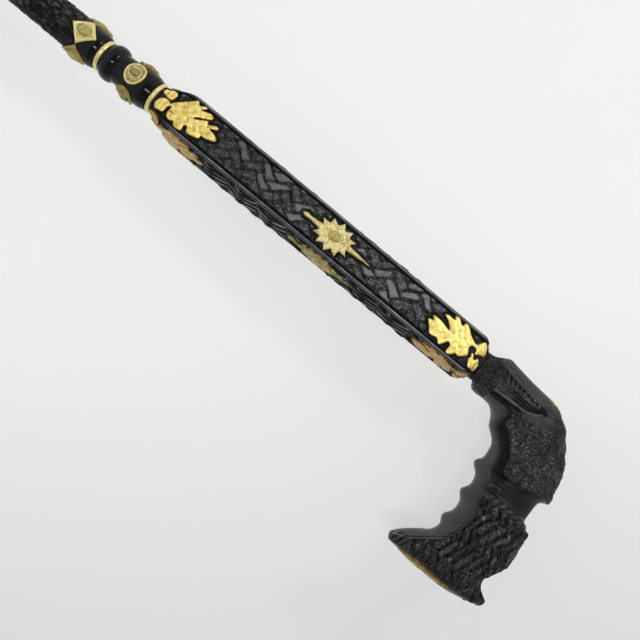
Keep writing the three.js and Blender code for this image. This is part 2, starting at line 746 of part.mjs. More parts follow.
function rounded(value) {
  return Math.sign(value) * Math.pow(Math.abs(value), 2 / gripFlatness);
}

// Egg-shaped section of the handle, narrower on the finger side
function handleRing(place) {
  const [backX, backZ, fingerX, fingerZ, depth] = stationAt(place);
  const back = new THREE.Vector2(backX * handleReach, backZ * handleRise);
  const finger = new THREE.Vector2(fingerX * handleReach, fingerZ * handleRise);
  finger.y -= fingerRidge(finger.x);
  const points = [];
  for (let j = 0; j < handleFacets; j++) {
    const angle = (j * Math.PI * 2) / handleFacets;
    const along = rounded(Math.cos(angle));
    const side = rounded(Math.sin(angle));
    const x = THREE.MathUtils.lerp(finger.x, back.x, (1 + along) / 2);
    const z = THREE.MathUtils.lerp(finger.y, back.y, (1 + along) / 2);
    const keel = 1 - (keelShare * (1 - along)) / 2;
    const sunk = carvingRelief * (1 - carved(x, z));
    points.push(new THREE.Vector3(x, -side * (depth * gripHalfDepth * keel - sunk), upperShaftTop + z));
  }
  return points;
}

function handleBody() {
  const rings = [];
  const count = (handleStationShares.length - 1) * handleRingsPerStation;
  for (let i = 0; i <= count; i++) {
    rings.push(handleRing(i / handleRingsPerStation));
  }
  return loftGeometry(rings);
}

// How far out the back edge of the handle stands at a height above the shaft
function backEdge(height) {
  const outline = handleStationShares.map(([x, z]) => [z, x]);
  return -handleReach * alongLine(outline, height / handleRise);
}

// Moves a solid made for the front face to the stone's place on the back of the handle, square to the back edge
function toHandleBack(geometry) {
  const half = backStone[1] + colletWall;
  const drop = backEdge(backStoneHeight - half) - backEdge(backStoneHeight + half);
  const tilt = Math.atan2(drop, 2 * half);
  return geometry.translate(0, 2 * backStonePocket, 0).rotateZ(-Math.PI / 2).rotateY(tilt)
    .translate(-backEdge(backStoneHeight), 0, upperShaftTop + backStoneHeight);
}

// Flat floor of the pocket under the stone, as far out as the pocket is deep
function pocketFloor(offset) {
  const floor = new THREE.BoxGeometry(mountReach, mountReach, mountReach);
  return floor.translate(0, mountReach / 2 - backStonePocket - offset, 0);
}

// Oval disc across the end of the handle, grown by an offset
function endOval(offset, thickness) {
  const disc = new THREE.CylinderGeometry(1, 1, 1, roundFacets).rotateZ(Math.PI / 2);
  disc.scale(thickness, endPlateHalfWidth + offset, endPlateHalfHeight + offset);
  return disc.translate(handleReach - endPlateRecess + thickness / 2, 0, upperShaftTop + endPlateHeight);
}

function handle() {
  const screwEnd = upperShaftTop + screwEmbedment + seatGap;
  const screwHole = bar(screwRadius + seatGap, upperShaftTop - cutOverrun, screwEnd);
  const plateRecess = endOval(seatGap, endPlateRecess + cutOverrun);
  const collet = colletOutline(backStone, seatGap);
  const pocketDepth = backStonePocket + cutOverrun;
  const pocketShape = new THREE.Shape(collet.map(([x, z]) => new THREE.Vector2(x, z)));
  const pocket = new THREE.ExtrudeGeometry(pocketShape, { depth: pocketDepth, bevelEnabled: false });
  pocket.rotateX(Math.PI / 2).translate(0, -backStonePocket, 0);
  const cuts = [screwHole, toHandleBack(pocket), plateRecess];
  return geometryFrom(cuts.reduce((wood, cut) => wood.subtract(solidFrom(cut)), solidFrom(handleBody())));
}

// Domed plate with an upright edge, seated in its recess
function endPlate() {
  const profile = [[0, 0], [1, 0]];
  const crownShare = endPlateCrown / (endPlateCrown + endPlateEdge);
  for (let i = 0; i < crownSteps; i++) {
    const angle = (i / crownSteps) * (Math.PI / 2);
    profile.push([Math.cos(angle), 1 - crownShare + crownShare * Math.sin(angle)]);
  }
  profile.push([0, 1]);
  const plate = turned(profile).rotateY(Math.PI / 2);
  plate.scale(endPlateEdge + endPlateCrown, endPlateHalfWidth, endPlateHalfHeight);
  return plate.translate(handleReach - endPlateRecess, 0, upperShaftTop + endPlateHeight);
}

addPiece('handle', handle(), ebony);
const screwSpan = [upperShaftTop - screwEmbedment, upperShaftTop + screwEmbedment];
addPiece('handle_screw', bar(screwRadius, ...screwSpan), steel);
addPiece('handle_end_plate', endPlate(), paleGold);
const backMount = stoneMount(colletOutline(backStone, 0), pocketFloor, mountThickness, backStone, 0);
addPiece('handle_collet', toHandleBack(backMount), paleGold);
const backGem = cabochon(pocketFloor, backStonePocket, mountThickness, backStone, 0);
addPiece('handle_stone', toHandleBack(backGem), stone);

export default stick;
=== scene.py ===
import math
import bpy
import numpy as np
from mathutils import Matrix, Vector
from mathutils.geometry import delaunay_2d_cdt


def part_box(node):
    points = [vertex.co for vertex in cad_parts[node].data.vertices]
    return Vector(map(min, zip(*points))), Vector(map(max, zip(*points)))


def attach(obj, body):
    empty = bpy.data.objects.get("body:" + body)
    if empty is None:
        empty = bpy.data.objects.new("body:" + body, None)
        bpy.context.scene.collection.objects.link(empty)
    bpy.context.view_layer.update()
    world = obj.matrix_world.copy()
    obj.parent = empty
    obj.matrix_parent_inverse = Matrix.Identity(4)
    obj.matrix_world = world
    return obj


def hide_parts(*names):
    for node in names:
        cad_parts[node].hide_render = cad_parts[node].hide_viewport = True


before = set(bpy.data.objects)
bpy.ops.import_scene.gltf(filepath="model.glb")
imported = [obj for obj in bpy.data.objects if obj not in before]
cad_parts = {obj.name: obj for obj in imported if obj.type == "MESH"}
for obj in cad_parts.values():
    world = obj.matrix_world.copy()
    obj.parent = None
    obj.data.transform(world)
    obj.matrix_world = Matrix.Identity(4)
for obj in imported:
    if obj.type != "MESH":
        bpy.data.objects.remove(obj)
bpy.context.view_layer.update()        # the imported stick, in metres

mm = 0.001
faces = ["front", "right", "back", "left"]


def span(node):          # lowest and highest corner of a node, in mm
    low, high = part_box(node)
    return np.array(low) / mm, np.array(high) / mm


# Heights of the joints, in mm above the foot
ferruleTop = span("ferrule")[1][2]
shaftTop = span("upper_shaft")[1][2]
shaftFoot = span("upper_shaft")[0][2]
knopFoot, knopTop = span("knop")[0][2], span("knop")[1][2]
lowerTop = span("lower_shaft")[1][2]

# Camera, lamps and paper

# lens and sensor in mm, turns in degrees, and the shaft's end right, down and ahead of the camera in mm
photo = dict(lens=49.5, sensor=36, turn=13.25, roll=39.86, tilt=-2.6, shaftEnd=(93.49, 27.02, 517.13))


def cameraAxes():
    # the model's X, Y and Z in the camera's right, down and ahead: a roll about the view, a tilt of the
    # stick's head towards it, then a turn about the stick
    roll, turn, tilt = (math.radians(photo[key]) for key in ("roll", "turn", "tilt"))
    flat = Vector((math.cos(roll), math.sin(roll), 0))
    across = Vector((-math.sin(roll), math.cos(roll), 0))
    ahead = Vector((0, 0, 1))
    up = flat * math.cos(tilt) + ahead * math.sin(tilt)
    depth = ahead * math.cos(tilt) - flat * math.sin(tilt)
    reach = across * math.cos(turn) - depth * math.sin(turn)
    return Matrix((reach, up.cross(reach), up)).transposed()


print("camera")
axes = cameraAxes()
cameraData = bpy.data.cameras.new("photoCamera")
cameraData.lens = photo["lens"]
cameraData.sensor_width = photo["sensor"]
camera = bpy.data.objects.new("photoCamera", cameraData)
rightWay, upWay, backWay = axes[0].copy(), -axes[1], -axes[2]
place = Vector((0, 0, shaftTop)) - axes.transposed() @ Vector(photo["shaftEnd"])
turned = Matrix((rightWay, upWay, backWay)).transposed().to_4x4()
camera.matrix_world = Matrix.Translation(place * mm) @ turned
bpy.context.scene.collection.objects.link(camera)
bpy.context.scene.camera = camera
bpy.context.scene.view_settings.view_transform = "Standard"


class Wire:
    # an output socket of a shader node: sums, differences, products and powers of wires add Math nodes
    def __init__(self, socket):
        self.socket = socket

    def math(self, operation, *values, clamp=False):
        # a Math node on numbers and wires, in the order of its sockets
        tree = self.socket.id_data
        node = tree.nodes.new("ShaderNodeMath")
        node.operation = operation
        node.use_clamp = clamp
        for slot, value in zip(node.inputs, values):
            if isinstance(value, Wire):
                tree.links.new(value.socket, slot)
            else:
                slot.default_value = value
        return Wire(node.outputs[0])

    def __add__(self, other):
        return self.math("ADD", self, other)

    def __sub__(self, other):
        return self.math("SUBTRACT", self, other)

    def __mul__(self, other):
        return self.math("MULTIPLY", self, other)

    def __pow__(self, other):
        return self.math("POWER", self, other)

    def __rsub__(self, other):
        return self.math("SUBTRACT", other, self)

    __radd__ = __add__
    __rmul__ = __mul__

    def clamped(self):       # held between 0 and 1
        return self.math("ADD", self, 0.0, clamp=True)


class NodeTree:
    # the nodes of one tree, made and joined by the names of their sockets
    def __init__(self, tree):
        self.tree = tree

    def node(self, kind, settings=None, inputs=None, output=0):
        # a node of one kind: its settings first, then the values or wires of its sockets
        made = self.tree.nodes.new(kind)
        for key, value in (settings or {}).items():
            if key == "stops":
                ramp = made.color_ramp
                while len(ramp.elements) < len(value):
                    ramp.elements.new(0.5)
                for element, (position, colour) in zip(ramp.elements, value):
                    element.position = position
                    element.color = (*colour, 1)
            else:
                setattr(made, key, value)
        self.fill(made, inputs or {})
        return Wire(made.outputs[output])

    def fill(self, made, inputs):
        # a wire is linked, a colour gets its alpha, and any other value is set as it is
        for key, value in inputs.items():
            if isinstance(value, Wire):
                self.tree.links.new(value.socket, made.inputs[key])
            elif isinstance(value, tuple) and len(value) == 3 and made.inputs[key].type == "RGBA":
                made.inputs[key].default_value = (*value, 1)
            else:
                made.inputs[key].default_value = value


class Finish(NodeTree):
    # a material and its shader tree
    def __init__(self, name):
        self.material = bpy.data.materials.new(name)
        self.material.use_nodes = True
        super().__init__(self.material.node_tree)
        self.shader = self.tree.nodes["Principled BSDF"]
        self.places = self.node("ShaderNodeTexCoord", output="Object")

    def noise(self, size, detail=3.0, roughness=0.55):   # cloudy noise, size in mm
        return self.node("ShaderNodeTexNoise", None,
                         {"Vector": self.places, "Scale": 1 / (size * mm), "Detail": detail,
                          "Roughness": roughness})

    def blend(self, factor, first, second):              # colour between two colours
        return self.node("ShaderNodeMix", {"data_type": "RGBA"}, {0: factor, 6: first, 7: second}, 2)

    def worked(self, name):                              # a value kept at each point of the mesh
        return self.node("ShaderNodeAttribute", {"attribute_name": name}, None, "Fac")

    def bump(self, height, depth, strength):             # depth in mm for a height of 1
        return self.node("ShaderNodeBump", None,
                         {"Height": height, "Distance": depth * mm, "Strength": strength})

    def shade(self, **inputs):                           # sockets of the main shader, by name
        self.fill(self.shader, {key.replace("_", " "): value for key, value in inputs.items()})
        return self.material

    def mixedWith(self, factor, other):                  # the other shader at 0, the present one at 1
        surface = self.tree.nodes["Material Output"].inputs["Surface"]
        shown = Wire(surface.links[0].from_socket)
        mixed = self.node("ShaderNodeMixShader", None, {0: factor, 1: other, 2: shown})
        self.tree.links.new(mixed.socket, surface)
        return self.material

    def cuts(self, dents, tone=0.0022):                  # painted shade: matt, nearly black wood in the bottom of a cut
        return self.node("ShaderNodeBsdfPrincipled", None,
                         {"Base Color": (tone, tone * 0.97, tone), "Roughness": 0.55,
                          "Specular IOR Level": 0.12, "Normal": dents})


def lamp(name, position, target, width, height, power):
    # a rectangular area lamp, turned from its place to its target
    light = bpy.data.lights.new(name, "AREA")
    light.shape = "RECTANGLE"
    light.size, light.size_y = width, height
    light.energy = power
    held = bpy.data.objects.new(name, light)
    way = Vector(target) - Vector(position)
    held.matrix_world = Matrix.Translation(position) @ way.to_track_quat("-Z", "Y").to_matrix().to_4x4()
    bpy.context.scene.collection.objects.link(held)


# places and sizes in metres, the dimmed cone in degrees, the paper's distance behind the stick in mm
studio = dict(world=0.95, dim=0.3, dimFrom=58.0, dimTo=26.0, sideShade=0.6,
              key=(0.3, -0.97, 0.82), keyPower=2.3, keySize=(0.06, 0.34), keyTarget=(0, 0, 0.7),
              glint=(-0.52, -0.8, 1.0), glintPower=1.5, glintSize=(0.08, 0.2), glintTarget=(0, 0, 0.8),
              paper=(0.945, 0.95, 0.95), shade=0.82, glow=0.55, paperBehind=34.0, floorHalf=3,
              wallHalf=1.6, wallHeight=2.2)
for name in ("key", "glint"):
    lamp(name + "Lamp", studio[name], studio[name + "Target"], *studio[name + "Size"],
         studio[name + "Power"])


def makeWorld():
    # pale light from everywhere, dimmer about the way from which the photograph was taken and beyond the
    # right face
    world = bpy.data.worlds.new("studioWorld")
    bpy.context.scene.world = world
    world.use_nodes = True
    sky = NodeTree(world.node_tree)
    way = sky.node("ShaderNodeTexCoord", output="Generated")
    facing = sky.node("ShaderNodeVectorMath", {"operation": "DOT_PRODUCT"},
                      {0: way, 1: tuple(backWay)}, "Value")
    dimFrom, dimTo = (math.cos(math.radians(studio[key])) for key in ("dimFrom", "dimTo"))
    level = sky.node("ShaderNodeMapRange", {"interpolation_type": "SMOOTHSTEP"},
                     {"Value": facing, "From Min": dimFrom, "From Max": dimTo, "To Min": studio["world"],
                      "To Max": studio["dim"]})
    beside = sky.node("ShaderNodeVectorMath", {"operation": "DOT_PRODUCT"},
                      {0: way, 1: (1, 0, 0)}, "Value")
    level = level * (1 - (beside * studio["sideShade"]).clamped())
    sky.fill(world.node_tree.nodes["Background"], {"Strength": level, "Color": (0.99, 0.995, 1.0)})


makeWorld()


def sheetOf(name, corners, material):
    # one flat sheet through four corners, part of the studio and not of the stick
    mesh = bpy.data.meshes.new(name)
    mesh.from_pydata([tuple(corner) for corner in corners], [], [(0, 1, 2, 3)])
    made = bpy.data.objects.new(name, mesh)
    mesh.materials.append(material)
    bpy.context.scene.collection.objects.link(made)


def paperMaterial(name, openBehind):
    # matt pale paper, with painted shade making it a little darker towards the foot of the picture; the
    # upright sheet is clear from its back
    finish = Finish(name)
    tone = finish.noise(60, 2.0)
    downWay = -upWay
    drop = finish.node("ShaderNodeVectorMath", {"operation": "DOT_PRODUCT"},
                       {0: finish.places, 1: tuple(downWay)}, "Value")
    low = finish.node("ShaderNodeMapRange", {"interpolation_type": "SMOOTHSTEP"},
                      {"Value": drop - place.dot(downWay) * mm, "From Min": -0.05, "From Max": 0.25})
    # painted shade: the paper's darker colour towards the foot of the picture
    shaded = tuple(value * studio["shade"] for value in studio["paper"])
    colour = finish.blend(low, studio["paper"], shaded)
    colour = finish.blend(tone * 0.1, colour, shaded)
    finish.shade(Base_Color=colour, Roughness=0.9, Specular_IOR_Level=0.0)
    rays = [finish.node("ShaderNodeLightPath", output=kind)
            for kind in ("Is Camera Ray", "Is Glossy Ray", "Is Transmission Ray")]
    seen = (rays[0] + rays[1] + rays[2]).clamped()
    glowing = finish.node("ShaderNodeEmission", None, {"Color": colour, "Strength": 1.0})
    finish.mixedWith(1 - seen * studio["glow"], glowing)
    if openBehind:
        behind = finish.node("ShaderNodeNewGeometry", None, None, "Backfacing")
        clear = finish.node("ShaderNodeBsdfTransparent")
        finish.mixedWith(1 - behind, clear)
    return finish.material


print("paper")
floorCorners = [(x * studio["floorHalf"], y * studio["floorHalf"], 0)
                for x, y in ((-1, -1), (1, -1), (1, 1), (-1, 1))]
sheetOf("floor", floorCorners, paperMaterial("floorPaper", False))
wallWay = Vector((backWay.x, backWay.y, 0)).normalized()
wallAcross = Vector((-wallWay.y, wallWay.x, 0))
wallFoot = -wallWay * studio["paperBehind"] * mm
wallCorners = [wallFoot + wallAcross * side * studio["wallHalf"] + Vector((0, 0, height))
               for side, height in ((-1, 0), (1, 0), (1, studio["wallHeight"]), (-1, studio["wallHeight"]))]
sheetOf("backdrop", wallCorners, paperMaterial("backdropPaper", True))


# Numbers on grids

def smoothStep(low, high, value):
    # 0 below low, 1 above high, and 3 t^2 - 2 t^3 between them
    t = np.clip((value - low) / (high - low), 0, 1)
    return t * t * (3 - 2 * t)


def fallStep(low, high, value):
    # the other way about: 1 below low, 0 above high
    return 1 - smoothStep(low, high, value)


def bell(away, width):
    # 1 in the middle, falling off as exp(-(distance / width)^2)
    return np.exp(-(away / width) ** 2)


def scatter(*keys):      # a repeatable number from 0 to 1 for each set of whole keys
    mixed = np.zeros(np.shape(keys[0]), dtype=np.uint64)
    for key, prime in zip(keys, (73856093, 19349663, 83492791, 2971215073)):
        mixed ^= (np.asarray(key).astype(np.int64) + 100000).astype(np.uint64) * np.uint64(prime)
    mixed ^= mixed >> np.uint64(13)
    mixed = (mixed * np.uint64(1274126177)) & np.uint64(0xFFFFFFFF)
    mixed ^= mixed >> np.uint64(16)
    return (mixed & np.uint64(0xFFFFFF)).astype(float) / 0xFFFFFF


def sheetPoints(a, b, level=0.0):
    # places on a flat sheet through the noise: two coordinates, and one level for all of them
    return np.stack([a, b, np.full(np.shape(a), level)], axis=-1)


def cloud(points, size, seed):
    # value noise: scattered numbers at the corners of a lattice, blended smoothly inside each box, -1 to 1
    scaled = points / size
    base = np.floor(scaled).astype(np.int64)
    part = scaled - base
    part = part * part * (3 - 2 * part)
    total = np.zeros(points.shape[:-1])
    for corner in np.ndindex(2, 2, 2):
        weight = np.prod(np.where(np.array(corner) == 1, part, 1 - part), axis=-1)
        total += weight * scatter(*(base[..., k] + corner[k] for k in range(3)), np.full(total.shape, seed))
    return total * 2 - 1


def granules(points, size, seed):
    # round grains: 1 - 1.6 d^2 at a distance of d boxes from the nearest scattered point, and never below 0
    scaled = points / size
    base = np.floor(scaled).astype(np.int64)
    nearest = np.full(points.shape[:-1], 9.0)
    key = np.full(nearest.shape, seed)
    for step in np.ndindex(3, 3, 3):
        box = base + np.array(step) - 1
        ids = [box[..., k] for k in range(3)]
        away = np.zeros(nearest.shape)
        for k in range(3):
            centre = ids[k] + 0.15 + 0.7 * scatter(*ids, key + k)
            away += (scaled[..., k] - centre) ** 2
        nearest = np.minimum(nearest, away)
    return np.clip(1 - nearest * 1.6, 0, 1)


def fenceDistance(points, fence):
    # distance from each point to a closed outline, positive inside
    start, end = fence, np.roll(fence, -1, axis=0)
    nearest = np.full(len(points), 1e9)
    inside = np.zeros(len(points), dtype=bool)
    for a, b in zip(start, end):
        way = b - a
        t = np.clip(((points - a) @ way) / (way @ way), 0, 1)
        nearest = np.minimum(nearest, np.linalg.norm(points - a - t[:, None] * way, axis=1))
        if a[1] != b[1]:
            crossing = (a[1] > points[:, 1]) != (b[1] > points[:, 1])
            inside ^= crossing & (points[:, 0] < a[0] + (points[:, 1] - a[1]) * way[0] / way[1])
    return np.where(inside, nearest, -nearest)


def insideFence(x, z, fence):
    # how far inside an outline each place of a grid lies
    return fenceDistance(np.stack([x.ravel(), z.ravel()], axis=1), fence).reshape(x.shape)


def cubicStep(a, b, c, d, t):
    # smooth curve from b to c as t goes from 0 to 1, with the slopes (c - a) / 2 and (d - b) / 2 at its ends
    squared = (2 * a - 5 * b + 4 * c - d) / 2
    cubed = (3 * b - a - 3 * c + d) / 2
    return b + (c - a) * t / 2 + squared * t ** 2 + cubed * t ** 3


def roundedFence(shares, steps=5):
    # smooth closed curve through the points of an outline, each span from the four points around it
    points = np.asarray(shares, dtype=float)
    a, b, c, d = (np.roll(points, k, axis=0)[:, None] for k in (1, 0, -1, -2))
    t = (np.arange(steps) / steps)[None, :, None]
    return cubicStep(a, b, c, d, t).reshape(-1, points.shape[1])


# Meshes

def gridFaces(rows, columns, aroundRows=False):
    # four-cornered faces between neighbours on a grid of closed rings, closed from the last ring to the
    # first too where asked
    r = np.arange(rows if aroundRows else rows - 1)[:, None]
    c = np.arange(columns)[None, :]
    nextRow, nextColumn = (r + 1) % rows, (c + 1) % columns
    quads = [r * columns + c, r * columns + nextColumn,
             nextRow * columns + nextColumn, nextRow * columns + c]
    return np.stack([np.broadcast_to(q, (len(r), columns)) for q in quads], axis=-1).reshape(-1, 4)


def closedTube(points):
    # rows of closed rings, with both ends drawn to a centre point
    rows, columns = points.shape[:2]
    ends = np.stack([points[0].mean(axis=0), points[-1].mean(axis=0)])
    c = np.arange(columns)
    last = (rows - 1) * columns
    first = np.stack([np.full(columns, rows * columns), (c + 1) % columns, c], axis=1)
    final = np.stack([np.full(columns, rows * columns + 1), last + c, last + (c + 1) % columns], axis=1)
    return np.vstack([points.reshape(-1, 3), ends]), [gridFaces(rows, columns), first, final]


def joined(parts):
    # several closed parts in one mesh: each part's faces count on from the points before it
    points, faceSets, base = [], [], 0
    for partPoints, partFaces in parts:
        points.append(partPoints)
        faceSets += [f + base for f in outward(partPoints, partFaces)]
        base += len(partPoints)
    return np.vstack(points), faceSets


def outward(points, faceSets):
    # the faces turned so that the closed surface holds a positive volume, the sum of a . (b x c)
    volume = 0
    for f in faceSets:
        for k in range(1, f.shape[1] - 1):
            a, b, c = points[f[:, 0]], points[f[:, k]], points[f[:, k + 1]]
            volume += np.einsum("ij,ij->", a, np.cross(b, c))
    return faceSets if volume > 0 else [f[:, ::-1] for f in faceSets]


def withEnds(values):
    # the values of a grid, then the mean of its first and of its last row for the two centre points
    return np.append(values.ravel(), [values[0].mean(), values[-1].mean()])


def addPiece(name, shape, material, nodes, values=None, crease=40):
    # a mesh from points in mm and sets of faces, with numbers kept at its points and creases at sharp
    # angles; it rides the stick and stands for the named nodes
    points, faceSets = shape
    faceSets = outward(points, faceSets)
    mesh = bpy.data.meshes.new(name)
    corners = np.concatenate([f.ravel() for f in faceSets]).astype(np.int32)
    sizes = np.concatenate([np.full(len(f), f.shape[1]) for f in faceSets])
    mesh.vertices.add(len(points))
    mesh.vertices.foreach_set("co", (points * mm).astype(np.float32).ravel())
    mesh.loops.add(len(corners))
    mesh.loops.foreach_set("vertex_index", corners)
    mesh.polygons.add(len(sizes))
    mesh.polygons.foreach_set("loop_start", np.concatenate([[0], np.cumsum(sizes)[:-1]]).astype(np.int32))
    mesh.update(calc_edges=True)
    mesh.validate()
    mesh.shade_smooth()
    if crease:
        mesh.set_sharp_from_angle(angle=math.radians(crease))
    for key, numbers in (values or {}).items():
        layer = mesh.attributes.new(key, "FLOAT", "POINT")
        layer.data.foreach_set("value", np.asarray(numbers, dtype=np.float32).ravel())
    made = bpy.data.objects.new(name, mesh)
    mesh.materials.append(material)
    bpy.context.scene.collection.objects.link(made)
    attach(made, "root")
    if nodes:
        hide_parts(*nodes)
    return made


def faceTurn(points, face):
    # a quarter turn about the stick for each face after the front
    angle = face * math.pi / 2
    c, s = round(math.cos(angle)), round(math.sin(angle))
    return points @ np.array([[c, s, 0], [-s, c, 0], [0, 0, 1]])


def revolved(profile, columns):
    # [radius, height] pairs carried round the stick
    profile = np.asarray(profile, dtype=float)
    angles = np.arange(columns) * 2 * math.pi / columns
    ring = np.stack([np.cos(angles), np.sin(angles)], axis=1)
    points = np.empty((len(profile), columns, 3))
    points[..., :2] = profile[:, None, :1] * ring[None]
    points[..., 2] = profile[:, 1:]
    return closedTube(points)


# Finishes

def carvedEbony(name, grain, depth, rough, shine, cutTone, rubbed):
    # black wood, cut by hand: painted shade makes it matt and nearly black in the cuts; painted sheen makes
    # it paler on the high parts, which are also glossier
    finish = Finish(name)
    high = finish.worked("high")
    mottle = finish.noise(4.0)
    scuff = finish.noise(grain, 4.0, 0.65)
    dents = finish.bump(scuff, depth, 0.9)
    # painted shade: where this share is low, the matt cut shader darkens the wood
    paintedLitShare = (high * 0.9 + (mottle - 0.5) * 0.6).clamped()
    colour = finish.blend(mottle, (0.014, 0.014, 0.0148), (0.042, 0.043, 0.046))
    # painted sheen: the highest parts paler
    colour = finish.blend(high ** 3, colour, (rubbed, rubbed * 1.02, rubbed * 1.08))
    finish.shade(Base_Color=colour, Roughness=rough - high * shine + (scuff - 0.5) * 0.25, Normal=dents,
                 Specular_IOR_Level=0.5)
    return finish.mixedWith(paintedLitShare, finish.cuts(dents, cutTone))


def polishedEbony(name, tone, rough, gloss, paintedSheenTone=0.0):
    # black wood brought to a shine: faint pores along the grain; on the handle a painted sheen on the finger
    # side, and painted shade and a painted dark reflection that make it matt where the mesh says so
    finish = Finish(name)
    stretched = finish.node("ShaderNodeMapping", None, {"Vector": finish.places, "Scale": (1, 1, 0.08)})
    pores = finish.node("ShaderNodeTexNoise", None, {"Vector": stretched, "Scale": 1800, "Detail": 3.0})
    mottle = finish.noise(9.0)
    dents = finish.bump(pores, 0.012, 0.8)
    colour = finish.blend(mottle, (tone, tone * 0.92, tone), (tone * 2.5, tone * 2.35, tone * 2.5))
    if paintedSheenTone:          # painted sheen: paler towards the finger side
        colour = finish.blend(finish.worked("rubbed"), colour, (paintedSheenTone, paintedSheenTone, paintedSheenTone * 1.03))
    finish.shade(Base_Color=colour, Roughness=rough + pores * 0.1 + (mottle - 0.5) * 0.1, Normal=dents,
                 Specular_IOR_Level=gloss, Coat_Weight=0.06, Coat_Roughness=0.05)
    return finish.mixedWith(finish.worked("high"), finish.cuts(dents)) if paintedSheenTone else finish.material


def gold(name, bright, dull, rough, grain, depth, metallic):
    # gilding over carved relief: painted shade makes it duller and darker in the hollows, broken by small
    # dents
    finish = Finish(name)
    high = finish.worked("high")
    dents = finish.noise(grain, 4.0, 0.6)
    mottle = finish.noise(2.6, 3.0)
    # painted shade where the mesh's value is low, and random patches from the mottle
    litAndClean = (high * 1.1 + (mottle - 0.5) * 1.2 + 0.1).clamped()
    colour = finish.blend(litAndClean, dull, bright)
    return finish.shade(Base_Color=colour, Metallic=metallic, Roughness=rough + (dents - 0.5) * 0.25,
                        Normal=finish.bump(dents, depth, 0.9))


def stoneFinish(name):
    # milky green stone with cloudy depth and a glossy cut, deeper in colour where the mesh says so
    finish = Finish(name)
    clouds = finish.noise(1.6, 4.0, 0.6)
    rim = finish.node("ShaderNodeLayerWeight", None, {"Blend": 0.35}, "Facing")
    streaked = ((clouds - 0.5) * 2.4 + 0.5).clamped()
    inner = finish.blend(streaked, (0.17, 0.15, 0.01), (0.8, 0.7, 0.16))
    inner = finish.blend(finish.worked("deep"), inner, (0.1, 0.11, 0.006))
    # painted shade: darker towards the rim as the surface turns from the view
    return finish.shade(Base_Color=finish.blend(rim * 0.75, inner, (0.06, 0.075, 0.008)), Roughness=0.16,
                        Coat_Weight=0.8, Coat_Roughness=0.06, Subsurface_Weight=0.1, Subsurface_Scale=0.002)


def plainMetal(name, colour, paintedLitShare, rough):
    # bare metal: patches of two colours, with fine scuffs in its gloss and its surface
    finish = Finish(name)
    scuff = finish.noise(1.2, 4.0, 0.65)
    patches = finish.noise(7.0, 3.0)
    return finish.shade(Base_Color=finish.blend(patches, colour, paintedLitShare), Metallic=1.0,
                        Roughness=rough + (scuff - 0.5) * 0.25, Normal=finish.bump(scuff, 0.02, 0.7))


print("finishes")
weaveEbony = carvedEbony("carvedEbony", 0.7, 0.3, 0.38, 0.14, 0.007, 0.17)
gripEbony = polishedEbony("handleEbony", 0.0035, 0.3, 0.3, 0.07)
knopEbony = polishedEbony("polishedEbony", 0.0015, 0.08, 0.2)
barkEbony = carvedEbony("barkEbony", 0.9, 0.3, 0.38, 0.26, 0.002, 0.08)
pebbleEbony = carvedEbony("pebbledEbony", 0.8, 0.45, 0.25, 0.16, 0.0015, 0.13)
buttEbony = carvedEbony("foldedEbony", 0.7, 0.3, 0.3, 0.16, 0.0015, 0.09)
beadEbony = carvedEbony("beadedEbony", 1.2, 0.05, 0.26, 0.08, 0.0022, 0.42)
leafGilt = gold("leafGilt", (1.0, 0.8, 0.24), (0.38, 0.21, 0.05), 0.33, 0.8, 0.12, 0.6)
paleGold = gold("paleGold", (0.84, 0.71, 0.33), (0.27, 0.2, 0.06), 0.36, 0.6, 0.12, 0.75)
# a darker copy of the gilding for the end plate: painted shade for its face turned from the light
plateGold = gold("plateGold", (0.66, 0.5, 0.15), (0.12, 0.075, 0.018), 0.45, 1.0, 0.2, 0.8)
greenStone = stoneFinish("greenStone")
brass = plainMetal("brass", (0.62, 0.42, 0.16), (0.4, 0.26, 0.1), 0.36)
steel = plainMetal("steel", (0.42, 0.43, 0.44), (0.3, 0.3, 0.31), 0.34)

plainNodes = {"tip": steel, "knop_rod": steel, "handle_screw": steel, "ferrule_pin": brass}
for node, material in plainNodes.items():
    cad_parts[node].data.materials.clear()
    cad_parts[node].data.materials.append(material)


# Upper shaft: a square body with beaded corners and a woven panel on each face

shaft = dict(halfAtKnop=13.5, halfAtHandle=12.8, bead=1.2, quirk=0.6, quirkDepth=1.1, panelDepth=0.6,
             knopShoulder=23.0, knopRadius=9.8, handleShoulder=8.0, handleRadius=9.8,
             handleRound=((0, 0.95), (0.4, 0.75), (0.6, 0.25), (1, 0)), bodyRows=150, gridStep=0.36)


def shaftSection(z):
    # half width of the square, how round it has become and the round's radius, at each height
    half = (shaft["halfAtKnop"]
            + (shaft["halfAtHandle"] - shaft["halfAtKnop"]) * (z - shaftFoot) / (shaftTop - shaftFoot))
    fromKnop = np.clip((z - shaftFoot) / shaft["knopShoulder"], 0, 1)
    fromHandle = np.clip((shaftTop - z) / shaft["handleShoulder"], 0, 1)
    knopEnd = 1 - np.sin(fromKnop * math.pi / 2) ** 1.3
    handleEnd = np.interp(fromHandle, *np.array(shaft["handleRound"]).T)
    radius = np.where(knopEnd > handleEnd, shaft["knopRadius"], shaft["handleRadius"])
    return half, np.maximum(knopEnd, handleEnd), radius


def onShaft(across, z, raised):
    # point of the front panel: flat and round blended along each ray from the axis, then raised
    half, roundness, radius = shaftSection(z)
    flat = half - shaft["panelDepth"]
    angle = np.arcsin(np.clip(across / np.maximum(flat, 1), -0.99, 0.99))
    for _ in range(12):
        reach = flat / np.cos(angle) * (1 - roundness) + radius * roundness
        angle = np.arcsin(np.clip(across / reach, -0.99, 0.99))
    reach = flat / np.cos(angle) * (1 - roundness) + radius * roundness
    lean = angle * roundness
    depth = reach * np.cos(angle) + raised * np.cos(lean)
    return np.stack([across + raised * np.sin(lean), -depth, z], axis=-1)


